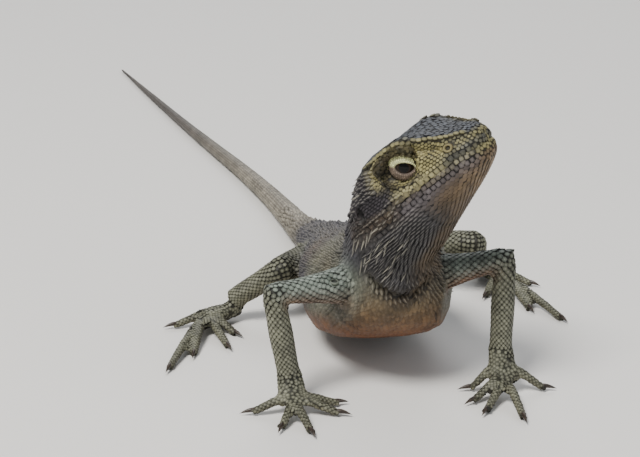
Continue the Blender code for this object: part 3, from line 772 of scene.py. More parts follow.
def markings(points, normals, part):
    """The hide's colour at each place, painted shade included, before grain, rim shade and keel."""
    places = fold_places(points)
    back, out, up = places.T
    height, run = points[:, 2], points[:, 1]
    aside, facing_up = np.abs(normals[:, 0]), normals[:, 2]
    from_pit = from_spot(points, pit_middle)
    tint = np.tile(np.array(FLANK), (len(points), 1))

    def paint(colour, share):
        tint[:] = tint * (1 - share[:, None]) + np.array(colour) * share[:, None]

    def near_line(line, reach):
        return bump(off_line(places, line), reach)

    neck, trunk = is_part(part, "neck"), is_part(part, *TRUNK)
    head = (is_part(part, "head", "lower_jaw") | (neck & (back < 31))) & ~collar(points, part)
    upper_arm, tail = is_part(part, "upper"), is_part(part, "tail")
    limb = is_part(part, "upper", "forearm", "thigh", "shin", "hand", "foot")

    # trunk: dusky above with two pale streaks, paler low on the flank, and warm beneath the chest
    streak = bump(aside - 0.42, 0.16) * ramp(facing_up, 0.1, 0.5) * (0.6 + 0.4 * np.sin(run * 0.55))
    breast = trunk * ramp(run, -100, -124)
    breast = breast * np.maximum(ramp(aside, 0.95, 0.68), ramp(-facing_up, 0.1, 0.45))
    paint(TAIL_PALE, trunk * streak * 0.3)
    paint(OLIVE, trunk * ramp(facing_up, 0.0, -0.6) * 0.6)
    paint(TAN, trunk * ramp(facing_up, -0.5, -0.9) * 0.7)
    paint(SAGE, trunk * ramp(run, -116, -122) * ramp(height, 30, 25) * 0.7)
    paint(TAWNY, breast * ramp(height, 27, 20) * 0.9)
    paint(RUST, breast * ramp(height, 22, 9) * 0.95)
    paint(FLANK, neck * ramp(height, 25, 30) * 0.9)

    # limbs: sage, mistier on the upper arm, warm beneath
    paint(SAGE, limb * 1.0)
    paint(MIST, upper_arm * 0.8)
    paint(RUST, upper_arm * ramp(-facing_up, -0.1, 0.5) * 0.85)
    paint(OLIVE, is_part(part, "shin", "hand", "foot", "thigh") * ramp(-facing_up, 0.05, 0.75) * 0.7)
    paint(MIST, (trunk | upper_arm) * bump(from_pit, 4.2) * 0.8)

    # tail: pale at its root, darker towards the tip, with a dark streak along each side of the top
    paint(TAIL_PALE, tail * ramp(run, -70, -45))
    paint(TAIL_DARK, tail * ramp(run, -20, 90))
    paint(TAIL_DARK, tail * bump(aside - 0.5, 0.2) * ramp(facing_up, 0.0, 0.4) * 0.5)

    # beard and throat
    face = head & (back < 24)
    paint(UMBER, head * 1.0)
    paint(INK, head * ramp(out, 4, 7.5) * ramp(back, 9, 16) * ramp(up, -3, -6) * 0.75)
    paint(DUN, head * ramp(out, 6, 3) * ramp(back, 8, 15) * ramp(up, -3, -8) * 0.85)
    paint(TAN, head * ramp(back, 15, 4.5) * ramp(up, 0.0, -2.0) * 0.9)

    # cheeks and lips
    paint(OCHRE, face * ramp(up, -1.6, 0.2) * ramp(back, 19.5, 16) * 0.85)
    paint(CREAM, face * near_line(CHEEK_LINE, 0.8) * 0.7)
    paint(LILAC, face * near_line(BELOW_LIPS, 1.7) * 0.85)
    paint(SLATE, face * near_line(SNOUT_LINE, 1.1) * 0.85)
    paint(PLUM, head * ramp(back, 17.2, 19.5) * ramp(up, -2.6, -0.6))
    paint(PLUM, face * near_line(EYE_STRIPE, 0.6) * 0.8)

    # crown, brow and the hollow round the eye, with painted shade in rust and umber under the brow's ridge
    over_brow = ramp(up - brow_height(back), -0.9, -0.2)
    crown = np.maximum(over_brow, ramp(out, 6.0, 4.5) * ramp(up, 2.5, 4.0))
    round_eye = bump(np.hypot((back - EYE_BACK) / 1.15, up - EYE_UP) - 4.6, 1.1)
    under_ridge = ramp(brow_height(back) - up, 0.0, 0.7) * ramp(out, 5.0, 6.5)
    paint(SLATE, head * crown * ramp(back, 26, 23))
    paint(OCHRE, face * round_eye * ramp(up - EYE_UP, -3.0, 0.0) * under_ridge * 0.7)
    # Painted shade: rust and umber along the hollow under the brow's overhanging ridge.
    paint(RUST, face * near_line(UNDER_BROW, 0.6) * 0.5)
    paint(UMBER, face * near_line(UNDER_BROW[3:], 0.5) * 0.25)
    paint(OCHRE, face * near_line(BROW, 0.55) * 0.8)

    # painted shade in the throat's fold, the shoulder pit and the ears' hollows
    paint(UMBER, trunk * bump(off_line(points, throat_fold), 0.9) * 0.9)
    paint(PIT_SHADE, bump(from_pit, 0.55))
    paint(EAR_SHADE, head * bump(from_spot(places, EAR, (1.0, 1.6, 1.25)), 1.1))
    return tint * DEEPEN


# Neighbouring parts run into each other over a few millimetres. The head keeps its sharper edges.
blur = np.where(is_head, 0.0, 0.5)
hide_tint = eased(markings(hide_points, hide_normals, hide_part), hide_edges, blur, 60)
hide_finder = finder(hide_points)


def tint_at(points):
    """The hide's own colour nearest to each place."""
    return hide_tint[[hide_finder.find(p)[1] for p in points]]

# ------------------------------------------------------------------ the hide's finish
# The skin is dry and matt, and shows as a dark net between the scales, partly its own darker colour
# and partly painted shade in the gaps. Scale and skin share one finish: a rim darkened with painted
# shade, a keel paled partly in its own colour and partly as a painted highlight, and a tone that
# differs a little from scale to scale.

HIDE_KEPT = 0.47  # share of the cast's faces that the net needs
NET_TRUNK, NET_PAW, NET_LIMB = 0.4, 0.25, 0.15  # how pale the skin is beside its scales: its own darker colour and painted shade in the gaps
NET_TOE = 0.6  # the skin that closes on a claw
# The keel's pale tint is partly its own colour and partly a painted highlight; the rim's dark tint is painted
# shade.
KEEL_TINT, RIM_SHADE_TINT = (0.22, 0.21, 0.18, 1), (0.12, 0.11, 0.11, 1)
NOISE_SPAN = (0.3, 0.7)  # between which noise mostly stays


def group(name, inputs, outputs):
    """A shader node group with these sockets, and its two ends."""
    tree = bpy.data.node_groups.new(name, "ShaderNodeTree")
    for label, kind, value in inputs:
        tree.interface.new_socket(label, in_out="INPUT", socket_type=kind).default_value = value
    for label, kind in outputs:
        tree.interface.new_socket(label, in_out="OUTPUT", socket_type=kind)
    return tree, tree.nodes.new("NodeGroupInput"), tree.nodes.new("NodeGroupOutput")


def node(tree, kind, settings=None, **links):
    """A shader node with its settings, and its inputs set to values or linked to sockets."""
    made = tree.nodes.new("ShaderNode" + kind)
    for key, value in (settings or {}).items():
        setattr(made, key, value)
    for key, value in links.items():
        socket = made.inputs[int(key[1:])] if key[1:].isdigit() else made.inputs[key.replace("_", " ")]
        if isinstance(value, bpy.types.NodeSocket):
            tree.links.new(value, socket)
        else:
            socket.default_value = value
    return made


def spread(tree, value, low, high, span=NOISE_SPAN, curve="LINEAR"):
    """A value's own span drawn out so that it runs from low to high."""
    return node(
        tree, "MapRange", {"interpolation_type": curve}, Value=value,
        From_Min=span[0], From_Max=span[1], To_Min=low, To_Max=high,
    ).outputs[0]


def times(tree, a, b):
    """One value multiplied by another."""
    return node(tree, "Math", {"operation": "MULTIPLY"}, _0=a, _1=b).outputs[0]


finish_of_scale, given, out = group(
    "scale finish",
    [
        ("Tint", "NodeSocketColor", (0.3, 0.3, 0.3, 1)),
        ("Rim", "NodeSocketFloat", 0.0),
        ("Tone", "NodeSocketFloat", 0.5),
        ("Rim Dark", "NodeSocketFloat", 0.6),
        ("Keel Pale", "NodeSocketFloat", 0.3),
        ("Grain", "NodeSocketFloat", 900.0),
    ],
    [("Color", "NodeSocketColor"), ("Roughness", "NodeSocketFloat"), ("Height", "NodeSocketFloat")],
)
g = finish_of_scale
place = node(g, "TexCoord").outputs["Object"]
grain = node(g, "TexNoise", Vector=place, Scale=given.outputs["Grain"], Detail=3.0, Roughness=0.6).outputs[0]
blotch = node(g, "TexNoise", Vector=place, Scale=210.0, Detail=3.0, Roughness=0.55).outputs[0]
# Each scale darkens towards its rim with painted shade, and its keel is paled, partly in its own colour and
# partly as a painted highlight.
shade_at_rim = spread(g, given.outputs["Rim"], 0.0, 1.0, (0.45, 1.0), "SMOOTHSTEP")
shade_at_rim = times(g, shade_at_rim, given.outputs["Rim Dark"])
keel_share = spread(g, given.outputs["Rim"], 0.0, 1.0, (0.35, 0.0), "SMOOTHSTEP")
keel_share = times(g, keel_share, given.outputs["Keel Pale"])
tone = spread(g, given.outputs["Tone"], 0.72, 1.3, (0.0, 1.0))
light = times(g, tone, spread(g, blotch, 0.66, 1.22))
light = times(g, light, spread(g, grain, 0.86, 1.12))
lit = node(g, "VectorMath", {"operation": "SCALE"}, _0=given.outputs["Tint"], Scale=light).outputs[0]
screen = {"data_type": "RGBA", "blend_type": "SCREEN"}
paler = node(g, "Mix", screen, _0=keel_share, _6=lit, _7=KEEL_TINT).outputs[2]
multiply = {"data_type": "RGBA", "blend_type": "MULTIPLY"}
darker = node(g, "Mix", multiply, _0=shade_at_rim, _6=paler, _7=RIM_SHADE_TINT).outputs[2]
g.links.new(darker, out.inputs["Color"])
g.links.new(spread(g, grain, 0.5, 0.72), out.inputs["Roughness"])
g.links.new(grain, out.inputs["Height"])


def material(name):
    """A new material, its node tree and its Principled BSDF."""
    made = bpy.data.materials.new(name)
    made.use_nodes = True
    return made, made.node_tree, made.node_tree.nodes["Principled BSDF"]


# Each material sets how dark its scales' rims are, which is painted shade, and how pale their keels are,
# partly own colour and partly painted highlight.
def scaly(name, rim_shade=0.6, keel_pale=0.3, grain=900.0):
    """A horny matt material in the colours that its mesh carries."""
    made, tree, skin = material(name)
    tint, rim, tone = (node(tree, "Attribute", {"attribute_name": n}) for n in ("tint", "rim", "tone"))
    look = node(
        tree, "Group", {"node_tree": finish_of_scale}, Tint=tint.outputs["Color"], Rim=rim.outputs["Fac"],
        Tone=tone.outputs["Fac"], Rim_Dark=rim_shade, Keel_Pale=keel_pale, Grain=grain,
    )
    relief = node(tree, "Bump", Height=look.outputs["Height"], Strength=0.5, Distance=0.00003)
    tree.links.new(look.outputs["Color"], skin.inputs["Base Color"])
    tree.links.new(look.outputs["Roughness"], skin.inputs["Roughness"])
    tree.links.new(relief.outputs[0], skin.inputs["Normal"])
    skin.inputs["Specular IOR Level"].default_value = 0.35
    return made


def carry(mesh, tint, rim, tone):
    """Writes the colour, rim and tone that the material reads onto a mesh."""
    count = len(mesh.vertices)
    colour = mesh.attributes.new("tint", "FLOAT_COLOR", "POINT")
    colour.data.foreach_set("color", np.column_stack([tint, np.ones(count)]).astype(np.float32).ravel())
    for name, value in (("rim", rim), ("tone", tone)):
        values = np.broadcast_to(value, (count,)).astype(np.float32)
        mesh.attributes.new(name, "FLOAT", "POINT").data.foreach_set("value", values)


fewer = hide.modifiers.new("fewer", "DECIMATE")
fewer.ratio = HIDE_KEPT
with_modifiers(hide)
thin_points, thin_normals = coordinates(hide.data), normals_of(hide.data)
thin_part = hide_part[ring_corner[[hide_tree.find_nearest(Vector(p))[2] for p in thin_points]]]
on_trunk, on_paw = is_part(thin_part, *TRUNK, "tail"), is_part(thin_part, *PAWS)
# The skin between the scales is darkened, partly its own darker colour and partly painted shade in the gaps,
# and less so where it closes on a claw.
net = np.select([on_trunk, on_paw], [NET_TRUNK, NET_PAW], NET_LIMB)
off_claws = np.min([from_spot(thin_points, base) for base, _ in claw_roots], axis=0)
net = np.maximum(net, NET_TOE * ramp(off_claws, 2.2, 1.2))
carry(hide.data, tint_at(thin_points) * net[:, None], 0.5, 0.4)
corners = np.empty(len(hide.data.loops), np.int32)
hide.data.loops.foreach_get("vertex_index", corners)
rings = hide.data.polygons
first = np.repeat([f.loop_start for f in rings], [f.loop_total for f in rings])
give_map(hide.data, laid_flat(thin_points[corners], thin_normals[corners], thin_part[corners], first))
hide.data.materials.append(scaly("hide", 0.2, 0.0, 1500.0))
hide.data.transform(Matrix.Scale(0.001, 4))
hide.data.shade_smooth()
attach(hide, "root")
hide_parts(*FLESH)

# ------------------------------------------------------------------ scales of the trunk and tail
# A body scale is a small horny leaf: its root is tucked under the one before, its tip stands over
# the next, and a keel runs down its middle. Along the back some stand up as thorns, and on the
# chest they lie flatter and less evenly.

PATCH = 0.0026  # each scale's patch on the bake's sheet
BURIED = -0.9  # how deep a scale's underside lies, in its own heights
CREASE = 26  # degrees between faces from which an edge shows as sharp


def band(count, low, high, flip=False):
    """Four-sided faces between two rings of points that start at these numbers."""
    ring = [(low + i, high + i, high + (i + 1) % count, low + (i + 1) % count) for i in range(count)]
    return [(a, d, c, b) for a, b, c, d in ring] if flip else ring


def fan(count, ring, tip, flip=False):
    """Three-sided faces from a ring of points to one tip."""
    faces = [(ring + i, ring + (i + 1) % count, tip) for i in range(count)]
    return [f[::-1] for f in faces] if flip else faces


def leaf_shape():
    """Points (across, along, height), faces, and how near each point is to the rim."""
    half = [(0.28, -0.36, 0.0), (0.5, 0.0, 0.18), (0.3, 0.3, 0.4)]
    rim = [(0, -0.5, -0.12), *half, (0, 0.58, 0.75), *((-x, y, z) for x, y, z in half[::-1])]
    keel = [(0, -0.28, 0.34), (0, 0.08, 0.8), (0, 0.42, 1.0)]
    under = [(x * 0.8, y * 0.8, BURIED) for x, y, _ in rim]
    faces = [tuple(range(7, -1, -1))] + band(8, 0, 8, flip=True)
    faces += [(8, 9, 16), (9, 10, 17, 16), (10, 11, 18, 17), (11, 12, 18)]
    faces += [(8, 16, 15), (15, 16, 17, 14), (14, 17, 18, 13), (13, 18, 12)]
    return np.array(under + rim + keel, float), faces, np.array([1.0] * 16 + [0.15, 0.0, 0.1])


def set_scales(
    name, rows, shape, width, length, height, tilt, finish, turn=0.0, tint=None, edging=1.0,
):
    """One joined mesh of scales. Sizes are millimetres per scale, and tilt lifts each one's tip."""
    pattern, faces, edge = shape
    n, v = len(rows), len(pattern)
    place, out, lie = rows[:, PLACE], rows[:, OUT], rows[:, LIE]
    lie = unit(lie - out * (lie * out).sum(1)[:, None])
    across = np.cross(lie, out)
    chance = np.random.default_rng(len(name))
    spin = (turn + chance.normal(0, 0.06, n))[:, None]
    grown = chance.uniform(0.92, 1.08, (n, 1, 1))
    lie, across = lie * np.cos(spin) + across * np.sin(spin), across * np.cos(spin) - lie * np.sin(spin)
    sizes = (np.broadcast_to(np.asarray(x, float), (n,)) for x in (width, length, height, tilt))
    wide, long, high, lift = (size[:, None, None] for size in sizes)
    x, y, z = (pattern[None, :, i:i + 1] for i in range(3))
    made = place[:, None] + across[:, None] * x * (wide * grown) + lie[:, None] * y * (long * grown)
    made = made + out[:, None] * (z * high + (y + 0.3) * lift * (z > -0.5))
    made[..., 2] = np.maximum(made[..., 2], 0.0)  # none goes through the ground it stands on

    mesh = bpy.data.meshes.new(name)
    corners = (np.arange(n)[:, None] * v + np.concatenate(faces)[None]).ravel()
    starts = np.cumsum([0] + [len(f) for f in faces] * n)[:-1]
    mesh.vertices.add(n * v)
    mesh.vertices.foreach_set("co", (made / 1000).astype(np.float32).ravel())
    mesh.loops.add(len(corners))
    mesh.loops.foreach_set("vertex_index", corners.astype(np.int32))
    mesh.polygons.add(len(starts))
    mesh.polygons.foreach_set("loop_start", starts.astype(np.int32))
    mesh.update(calc_edges=True)
    tint = tint_at(place) if tint is None else tint
    # How strongly each scale's rim is darkened with painted shade and its keel paled.
    edging = np.broadcast_to(np.asarray(edging, float), (n,))
    rim = 0.4 + np.outer(edging, edge - 0.4)
    carry(mesh, np.repeat(tint, v, axis=0), rim.ravel(), np.repeat(chance.random(n), v))

    # the bake's patch: sides outermost, and the hidden underside shrunk into a corner
    spots = pattern[:, :2] * np.where(pattern[:, 2:] < -0.5, 1.3, 1.0)
    underside, *others = (spots[list(f)] for f in faces)
    patch = np.vstack([underside * 0.1 + (0.5, -0.5), *others])
    roots = laid_flat(place, out, rows[:, PART])
    give_map(mesh, (roots[:, None] + patch[None] * PATCH).reshape(-1, 2))
    mesh.shade_smooth()
    mesh.set_sharp_from_angle(angle=math.radians(CREASE))
    mesh.materials.append(finish)
    piece = put_out(name, mesh)
    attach(piece, "root")


def of_kind(kind):
    """The places of one kind of scale, with the rows' own width and step there."""
    rows = planted[planted[:, KIND] == kind]
    return rows, rows[:, WIDE], rows[:, STEP]


leaf = leaf_shape()
body_finish = scaly("scale body", 0.8, 0.45)
rows = of_kind(BODY)[0]
fore = is_part(rows[:, PART], "neck", "chest", "head", "lower_jaw")
for name, rows in (("scales_trunk_front", rows[fore]), ("scales_trunk_rear", rows[~fore])):
    chance = np.random.default_rng(4)
    top = ramp(rows[:, OUT][:, 2], -0.3, 0.4)  # 1 on the back, 0 beneath
    thorny = (chance.random(len(rows)) < 0.13) * top
    turn = chance.normal(0, 0.16, len(rows)) * (1 - top)
    set_scales(
        name, rows, leaf, rows[:, WIDE] * (1.42 - 0.2 * top), rows[:, STEP] * (2.55 + 1.0 * thorny),
        0.11 + 0.17 * top + 0.2 * thorny, 0.08 + 0.14 * top + 0.35 * thorny, body_finish,
        turn=turn, edging=0.4 + 0.6 * top,
    )
rows, wide, step = of_kind(TAIL)
set_scales(
    "scales_tail", rows, leaf, wide * 1.15, step * 2.6, wide * 0.2, wide * 0.14, body_finish,
)

# ------------------------------------------------------------------ scales of the legs and paws
# The legs carry six-sided plates of horn with the dark skin between them, like a mesh stocking. On
# the paws they shrink to rounded grains.


def plate_shape(corners):
    """A low plate with a sloping rim and a slightly raised middle. Corners are (across, along)."""
    n = len(corners)
    under = [(x * 0.9, y * 0.9, BURIED) for x, y in corners]
    rim = [(x, y, 0.0 if y < 0 else 0.12) for x, y in corners]
    shoulder = [(x * 0.86, y * 0.86, 0.72 + y * 0.15) for x, y in corners]
    faces = [tuple(range(n - 1, -1, -1)), *band(n, 0, n, flip=True), *band(n, n, 2 * n, flip=True)]
    faces += fan(n, 2 * n, 3 * n)
    edge = np.array([1.0] * (2 * n) + [0.72] * n + [0.0])
    return np.array(under + rim + shoulder + [(0, 0.06, 1.0)], float), faces, edge


def bead_shape(sides=6):
    """A low rounded grain."""
    points = []
    for radius, lift, height in ((0.44, 0.0, BURIED), (0.5, 0.03, 0.2)):
        for i in range(sides):
            turn = math.tau * i / sides
            points.append((radius * math.cos(turn), radius * math.sin(turn) + lift, height))
    faces = [tuple(range(sides - 1, -1, -1)), *band(sides, 0, sides, flip=True)]
    faces += fan(sides, sides, 2 * sides)
    edge = np.array([1.0] * sides + [0.85] * sides + [0.0])
    return np.array(points + [(0, 0.08, 0.9)], float), faces, edge


HEXAGON = [(0.27, -0.48), (0.49, 0.0), (0.28, 0.5), (-0.28, 0.5), (-0.49, 0.0), (-0.27, -0.48)]
limb_finish = scaly("scale limb", 1.0, 0.55)
bead = bead_shape()
rows, wide, step = of_kind(LIMB)
cell = wide + step * step / wide  # how wide a plate is that meets its neighbours
hexagon = plate_shape(HEXAGON)
set_scales("scales_limbs", rows, hexagon, cell * 0.79, step * 1.7, 0.24, 0.1, limb_finish)
rows, wide, step = of_kind(PAW)
set_scales("scales_paws", rows, bead, wide * 1.2, step * 2.25, 0.19, 0.06, limb_finish)

# ------------------------------------------------------------------ scales of the beard
# The throat's scales are the same horny leaves, flat and even under the chin. Towards the rear of
# the jaw they narrow to bristles that stand away from the skin, which is the beard.

throat_finish = scaly("scale throat", 0.95, 0.5)
rows, wide, step = of_kind(THROAT)
back, out, up = fold_places(rows[:, PLACE]).T
spiny = ramp(back, 11, 25) * (0.3 + 0.7 * ramp(out, 4, 9)) * ramp(up, -18, -11)
set_scales(
    "scales_throat", rows, leaf, wide * (1.3 - 0.25 * spiny), step * (2.5 + 1.9 * spiny),
    0.10 + 0.12 * spiny, 0.03 + 0.22 * spiny + 0.1 * ramp(back, 12, 20), throat_finish,
    edging=0.3 + 0.7 * ramp(spiny, 0.02, 0.35),
)

# ------------------------------------------------------------------ scales of the head
# Small grains cover the cheeks, keeled leaves the temples, and brick-like plates the lips. A row of
# larger plates edges each brow, and rough cobbles cover the crown.

BRICK = [(0.42, -0.48), (0.5, 0.0), (0.42, 0.48), (-0.42, 0.48), (-0.5, 0.0), (-0.42, -0.48)]
GRAIN = [(0.24, -0.5), (0.47, -0.3), (0.5, 0.22), (0.28, 0.5)]
GRAIN += [(-across, along) for across, along in GRAIN[::-1]]
COBBLE = [(math.cos(a) * 0.5, math.sin(a) * 0.5) for a in (0.1, 1.0, 2.2, 3.2, 4.1, 5.3)]
TEMPLE_BACK = 17.4  # behind this the face's wider rows turn rough
face_finish = scaly("scale face", 0.9, 0.15)
rows, wide, step = of_kind(FACE)
rough = (on_head(rows[:, PLACE])[:, 0] > TEMPLE_BACK) & (wide > 0.61)
soft, keeled = rows[~rough], rows[rough]
grain = plate_shape(GRAIN)
set_scales("scales_face", soft, grain, soft[:, WIDE], soft[:, STEP] * 2.02, 0.13, 0.05, face_finish)
set_scales(
    "scales_temple", keeled, leaf, keeled[:, WIDE] * 1.5, keeled[:, STEP] * 2.9, 0.3, 0.26, throat_finish,
)
set_scales("scales_brow", of_kind(BROW_ROW)[0], grain, 0.85, 1.15, 0.34, 0.1, face_finish)
rows, wide, step = of_kind(LIP)
set_scales("scales_lips", rows, plate_shape(BRICK), wide, step * 2.02, 0.2, 0.03, face_finish)
rows, wide, _ = of_kind(CROWN)
spin = np.random.default_rng(8).random(len(rows)) * math.tau
size = wide * 1.08
set_scales("scales_crown", rows, plate_shape(COBBLE), size, size, 0.17, 0.02, face_finish, turn=spin)

# ------------------------------------------------------------------ spines
# Thorns of pale horn stand behind the jaw and ear, over the nape, and in a fringe along each flank.
# Each grows from a scale's place and leans back with the scales round it.

THORN_LINES = [  # on the head: line, how wide the band is, length, how much it stands out
    ([(24.5, 11.9, -4.2), (28.5, 11.0, -5.0), (33.0, 9.6, -5.6)], 0.9, 3.3, 0.5),
    ([(22.5, 11.6, -6.6), (27.0, 11.2, -8.2), (32.0, 9.8, -9.6)], 0.9, 3.0, 0.4),
    ([(21.0, 10.6, -9.0), (26.0, 10.0, -11.6), (30.0, 9.2, -13.2)], 0.8, 2.5, 0.35),
    ([(19.5, 9.6, -10.6), (24.0, 8.4, -14.0), (28.0, 7.0, -16.0)], 0.7, 2.1, 0.3),
    ([(24.8, 9.6, 3.6), (28.5, 9.0, 2.2), (31.0, 8.6, 0.6)], 0.9, 2.0, 0.9),
    ([(26.0, 4.0, 5.0), (26.6, 7.6, 4.6), (26.8, 9.4, 3.0)], 0.8, 1.8, 0.9),
]
THORN_APART, FRINGE_APART = 1.15, 1.5
FRINGE_LONG, FRINGE_LIFT = 1.9, 0.9
FRINGE_ALONG, FRINGE_HIGH = [-130, -105, -75], [13.5, 13.0, 8.5]  # its line along each flank


def spine_shape():
    """A five-sided thorn, rooted at the back and drawn out along its lie."""
    turn = [math.tau * i / 5 + 0.3 for i in range(5)]
    points, edge = [], []
    rings = ((-0.5, 0.5, -0.1, 0.9), (-0.1, 0.36, 0.35, 0.5), (0.25, 0.18, 0.7, 0.2))
    for along, radius, rise, near in rings:
        points += [(radius * math.cos(t), along, rise + radius * math.sin(t)) for t in turn]
        edge += [near] * 5
    faces = [tuple(range(5)), *band(5, 0, 5), *band(5, 5, 10), *fan(5, 10, 15, flip=True)]
    return np.array(points + [(0, 0.5, 0.95)], float), faces, np.array(edge + [0.0])


def spaced(rows, order, apart):
    """Those rows, taken in this order, that keep this far from the ones before them."""
    held = []
    for i in order:
        if all(np.linalg.norm(rows[i, PLACE] - rows[j, PLACE]) > apart for j in held):
            held.append(i)
    return rows[held]


thorn_sets, thorn_long, thorn_lift = [], [], []
folded = fold_places(planted[:, PLACE])
for line, band_width, long, lift in THORN_LINES:
    near = off_line(folded, line)
    order = [i for i in np.argsort(folded[:, 0]) if near[i] < band_width]
    thorn_sets.append(spaced(planted, order, THORN_APART))
    thorn_long += [long] * len(thorn_sets[-1])
    thorn_lift += [lift] * len(thorn_sets[-1])
flank = planted[(planted[:, KIND] == BODY) & is_part(planted[:, PART], "chest", "belly", "hips")]
off_fringe = np.abs(flank[:, 2] - np.interp(flank[:, 1], FRINGE_ALONG, FRINGE_HIGH))
flank = flank[(flank[:, 1] > -121) & (off_fringe < 0.7) & (np.abs(flank[:, 3]) > 0.6)]
fringe = spaced(flank, np.argsort(flank[:, 1]), FRINGE_APART)
thorn_rows = np.vstack([*thorn_sets, fringe])
thorn_long = np.array(thorn_long + [FRINGE_LONG] * len(fringe))
thorn_long *= np.random.default_rng(3).uniform(0.75, 1.2, len(thorn_long))
thorn_lift = np.array(thorn_lift + [FRINGE_LIFT] * len(fringe)) * 0.75
paleness = np.random.default_rng(6).uniform(0.25, 0.9, (len(thorn_rows), 1))
paleness[-len(fringe):] *= 0.3
thorn_tint = tint_at(thorn_rows[:, PLACE]) * 1.6 * (1 - paleness) + np.array(BONE) * 0.5 * paleness
horn_finish = scaly("horn", 1.0, 0.5, 1400.0)
spine = spine_shape()
set_scales("spines", thorn_rows, spine, 0.52, thorn_long, 0.45, thorn_lift, horn_finish, tint=thorn_tint)

# ------------------------------------------------------------------ eyes and lids
# A dark, wet ball sits deep in each socket. The lids close over it to an almond that stays level
# while the snout points up: the upper lid is pale and broad, the lower one thin with a beaded edge.

EYE_LOOK = (0.27, 0.96, -0.05)  # forward, outward and up on the head
EYE_TILT = 30.0  # degrees that the almond leans forward, against the lift of the snout
OPENING = (38.0, 17.0, 22.0)  # degrees of the ball: half its length, height above, depth below
ALMOND_FORWARD, ALMOND_POINT = 3.0, 1.25  # degrees it sits forward, and how pointed its ends are
LID_EDGE = (94.0, 90.0)  # where the lid's dome ends: along, and above or below
# The lid rim's near-black is painted shade where the lid's edge tucks against the ball.
LID_UPPER, LID_LOWER, INNER_LID_SHADE = (0.78, 0.79, 0.41), (0.21, 0.16, 0.12), (0.06, 0.04, 0.03)
SOCKET_TINT = (0.15, 0.115, 0.05)
BALL_SINK, CORNEA_RISE = 0.02, 0.13  # under the solid's surface, and over it at the middle
BALL_TURNS, BALL_STEPS, LID_TURNS = 48, 30, 72
# the lid's section: how far out each ring lies between the almond and the dome's end, and its lift
LID_SHARES = np.array([0.0, 0.0, 0.03, 0.08, 0.15, 0.25, 0.37, 0.5, 0.63, 0.76, 0.88, 1.0])
LID_LIFTS = np.array([-0.30, 0.02, 0.17, 0.25, 0.27, 0.30, 0.32, 0.34, 0.34, 0.34, 0.34, 0.34])
IRIS_STOPS = [  # rings from the pupil outward
    (0.0, (0.003, 0.003, 0.003)), (0.30, (0.003, 0.003, 0.003)), (0.36, (0.024, 0.013, 0.006)),
    (0.42, (0.012, 0.007, 0.004)), (0.56, (0.009, 0.006, 0.004)), (0.68, (0.03, 0.02, 0.014)),
]

iris_look, given, out = group(
    "iris", [("Ring", "NodeSocketFloat", 0.0), ("Grain", "NodeSocketFloat", 2500.0)],
    [("Color", "NodeSocketColor")],
)
place = node(iris_look, "TexCoord").outputs["Object"]
streaks = node(iris_look, "TexNoise", Vector=place, Scale=given.outputs["Grain"], Detail=2.0).outputs[0]
wobble = spread(iris_look, streaks, -0.03, 0.03)
ring = node(iris_look, "Math", {"operation": "ADD"}, _0=given.outputs["Ring"], _1=wobble)
bands = node(iris_look, "ValToRGB", _0=ring.outputs[0])
stops = bands.color_ramp.elements
for spot, colour in IRIS_STOPS:
    stop = stops.new(spot) if spot else stops[0]
    stop.color = (*colour, 1)
stops.remove(stops[-1])
iris_look.links.new(bands.outputs[0], out.inputs["Color"])

wet, tree, skin = material("wet eye")
ring = node(tree, "Attribute", {"attribute_name": "ring"})
look = node(tree, "Group", {"node_tree": iris_look}, Ring=ring.outputs["Fac"])
tree.links.new(look.outputs[0], skin.inputs["Base Color"])
skin.inputs["Roughness"].default_value = 0.08
skin.inputs["Specular IOR Level"].default_value = 0.16
lid_finish = scaly("lid", 0.35, 0.2, 1600.0)


def from_mesh_data(name, points, faces, finish, outward=False):
    """A smooth piece from points in millimetres. Outward turns its faces to look out."""
    mesh = bpy.data.meshes.new(name)
    mesh.from_pydata([Vector(p) / 1000 for p in points], [], faces)
    mesh.materials.append(finish)
    mesh.shade_smooth()
    if outward:
        bm = bmesh.new()
        bm.from_mesh(mesh)
        bmesh.ops.recalc_face_normals(bm, faces=bm.faces)
        bm.to_mesh(mesh)
        bm.free()
    made = put_out(name, mesh)
    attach(made, "root")
    return made


def eye_directions(way):
    """Where an eye looks, and the long and upright directions of its almond."""
    look_way = head_front * EYE_LOOK[0] + head_left * way * EYE_LOOK[1] + head_top * EYE_LOOK[2]
    look_way = unit(look_way)
    tilt = math.radians(EYE_TILT)
    long_way = head_front * math.cos(tilt) - head_top * math.sin(tilt)
    long_way = unit(long_way - look_way * (long_way @ look_way))
    lid_up = np.cross(long_way, look_way)
    return look_way, long_way, lid_up * np.sign(lid_up @ head_top)


def on_ball(centre, directions, x, y, radius):
    """The place at these degrees along and up from the eye's middle."""
    look_way, long_way, lid_up = directions
    angle, turn = np.radians(np.hypot(x, y))[..., None], np.arctan2(y, x)[..., None]
    flat = np.cos(turn) * long_way + np.sin(turn) * lid_up
    return centre + (look_way * np.cos(angle) + flat * np.sin(angle)) * np.asarray(radius)[..., None]


def lid_tint(y, share):
    """Pale above, flesh below, painted shade at the very edge and lower fold, ochre where it meets the cheek.
    """
    upper = ramp(y, -6, 4)[:, None]
    tint = np.array(LID_LOWER) * (1 - upper) + np.array(LID_UPPER) * upper
    # Painted shade where the lid's edge tucks against the ball, and in a band along the lower lid's fold.
    edge = bump(share, 0.06)[:, None] * (1 - 0.7 * upper)
    fold = bump(share - 0.78, 0.12)[:, None] * (1 - upper)
    cheek = ramp(share, 0.6, 0.95)[:, None]
    tint = tint * (1 - edge) + np.array(INNER_LID_SHADE) * edge
    tint = tint * (1 - cheek) + np.array(SOCKET_TINT) * cheek
    return tint * (1 - 0.8 * fold)


def round_ring(values, at, walk):
    """Values round a closed ring, at these distances along it."""
    values = np.concatenate([values, values[:1]])
    return np.stack([np.interp(at, walk, column) for column in values.T], 1)


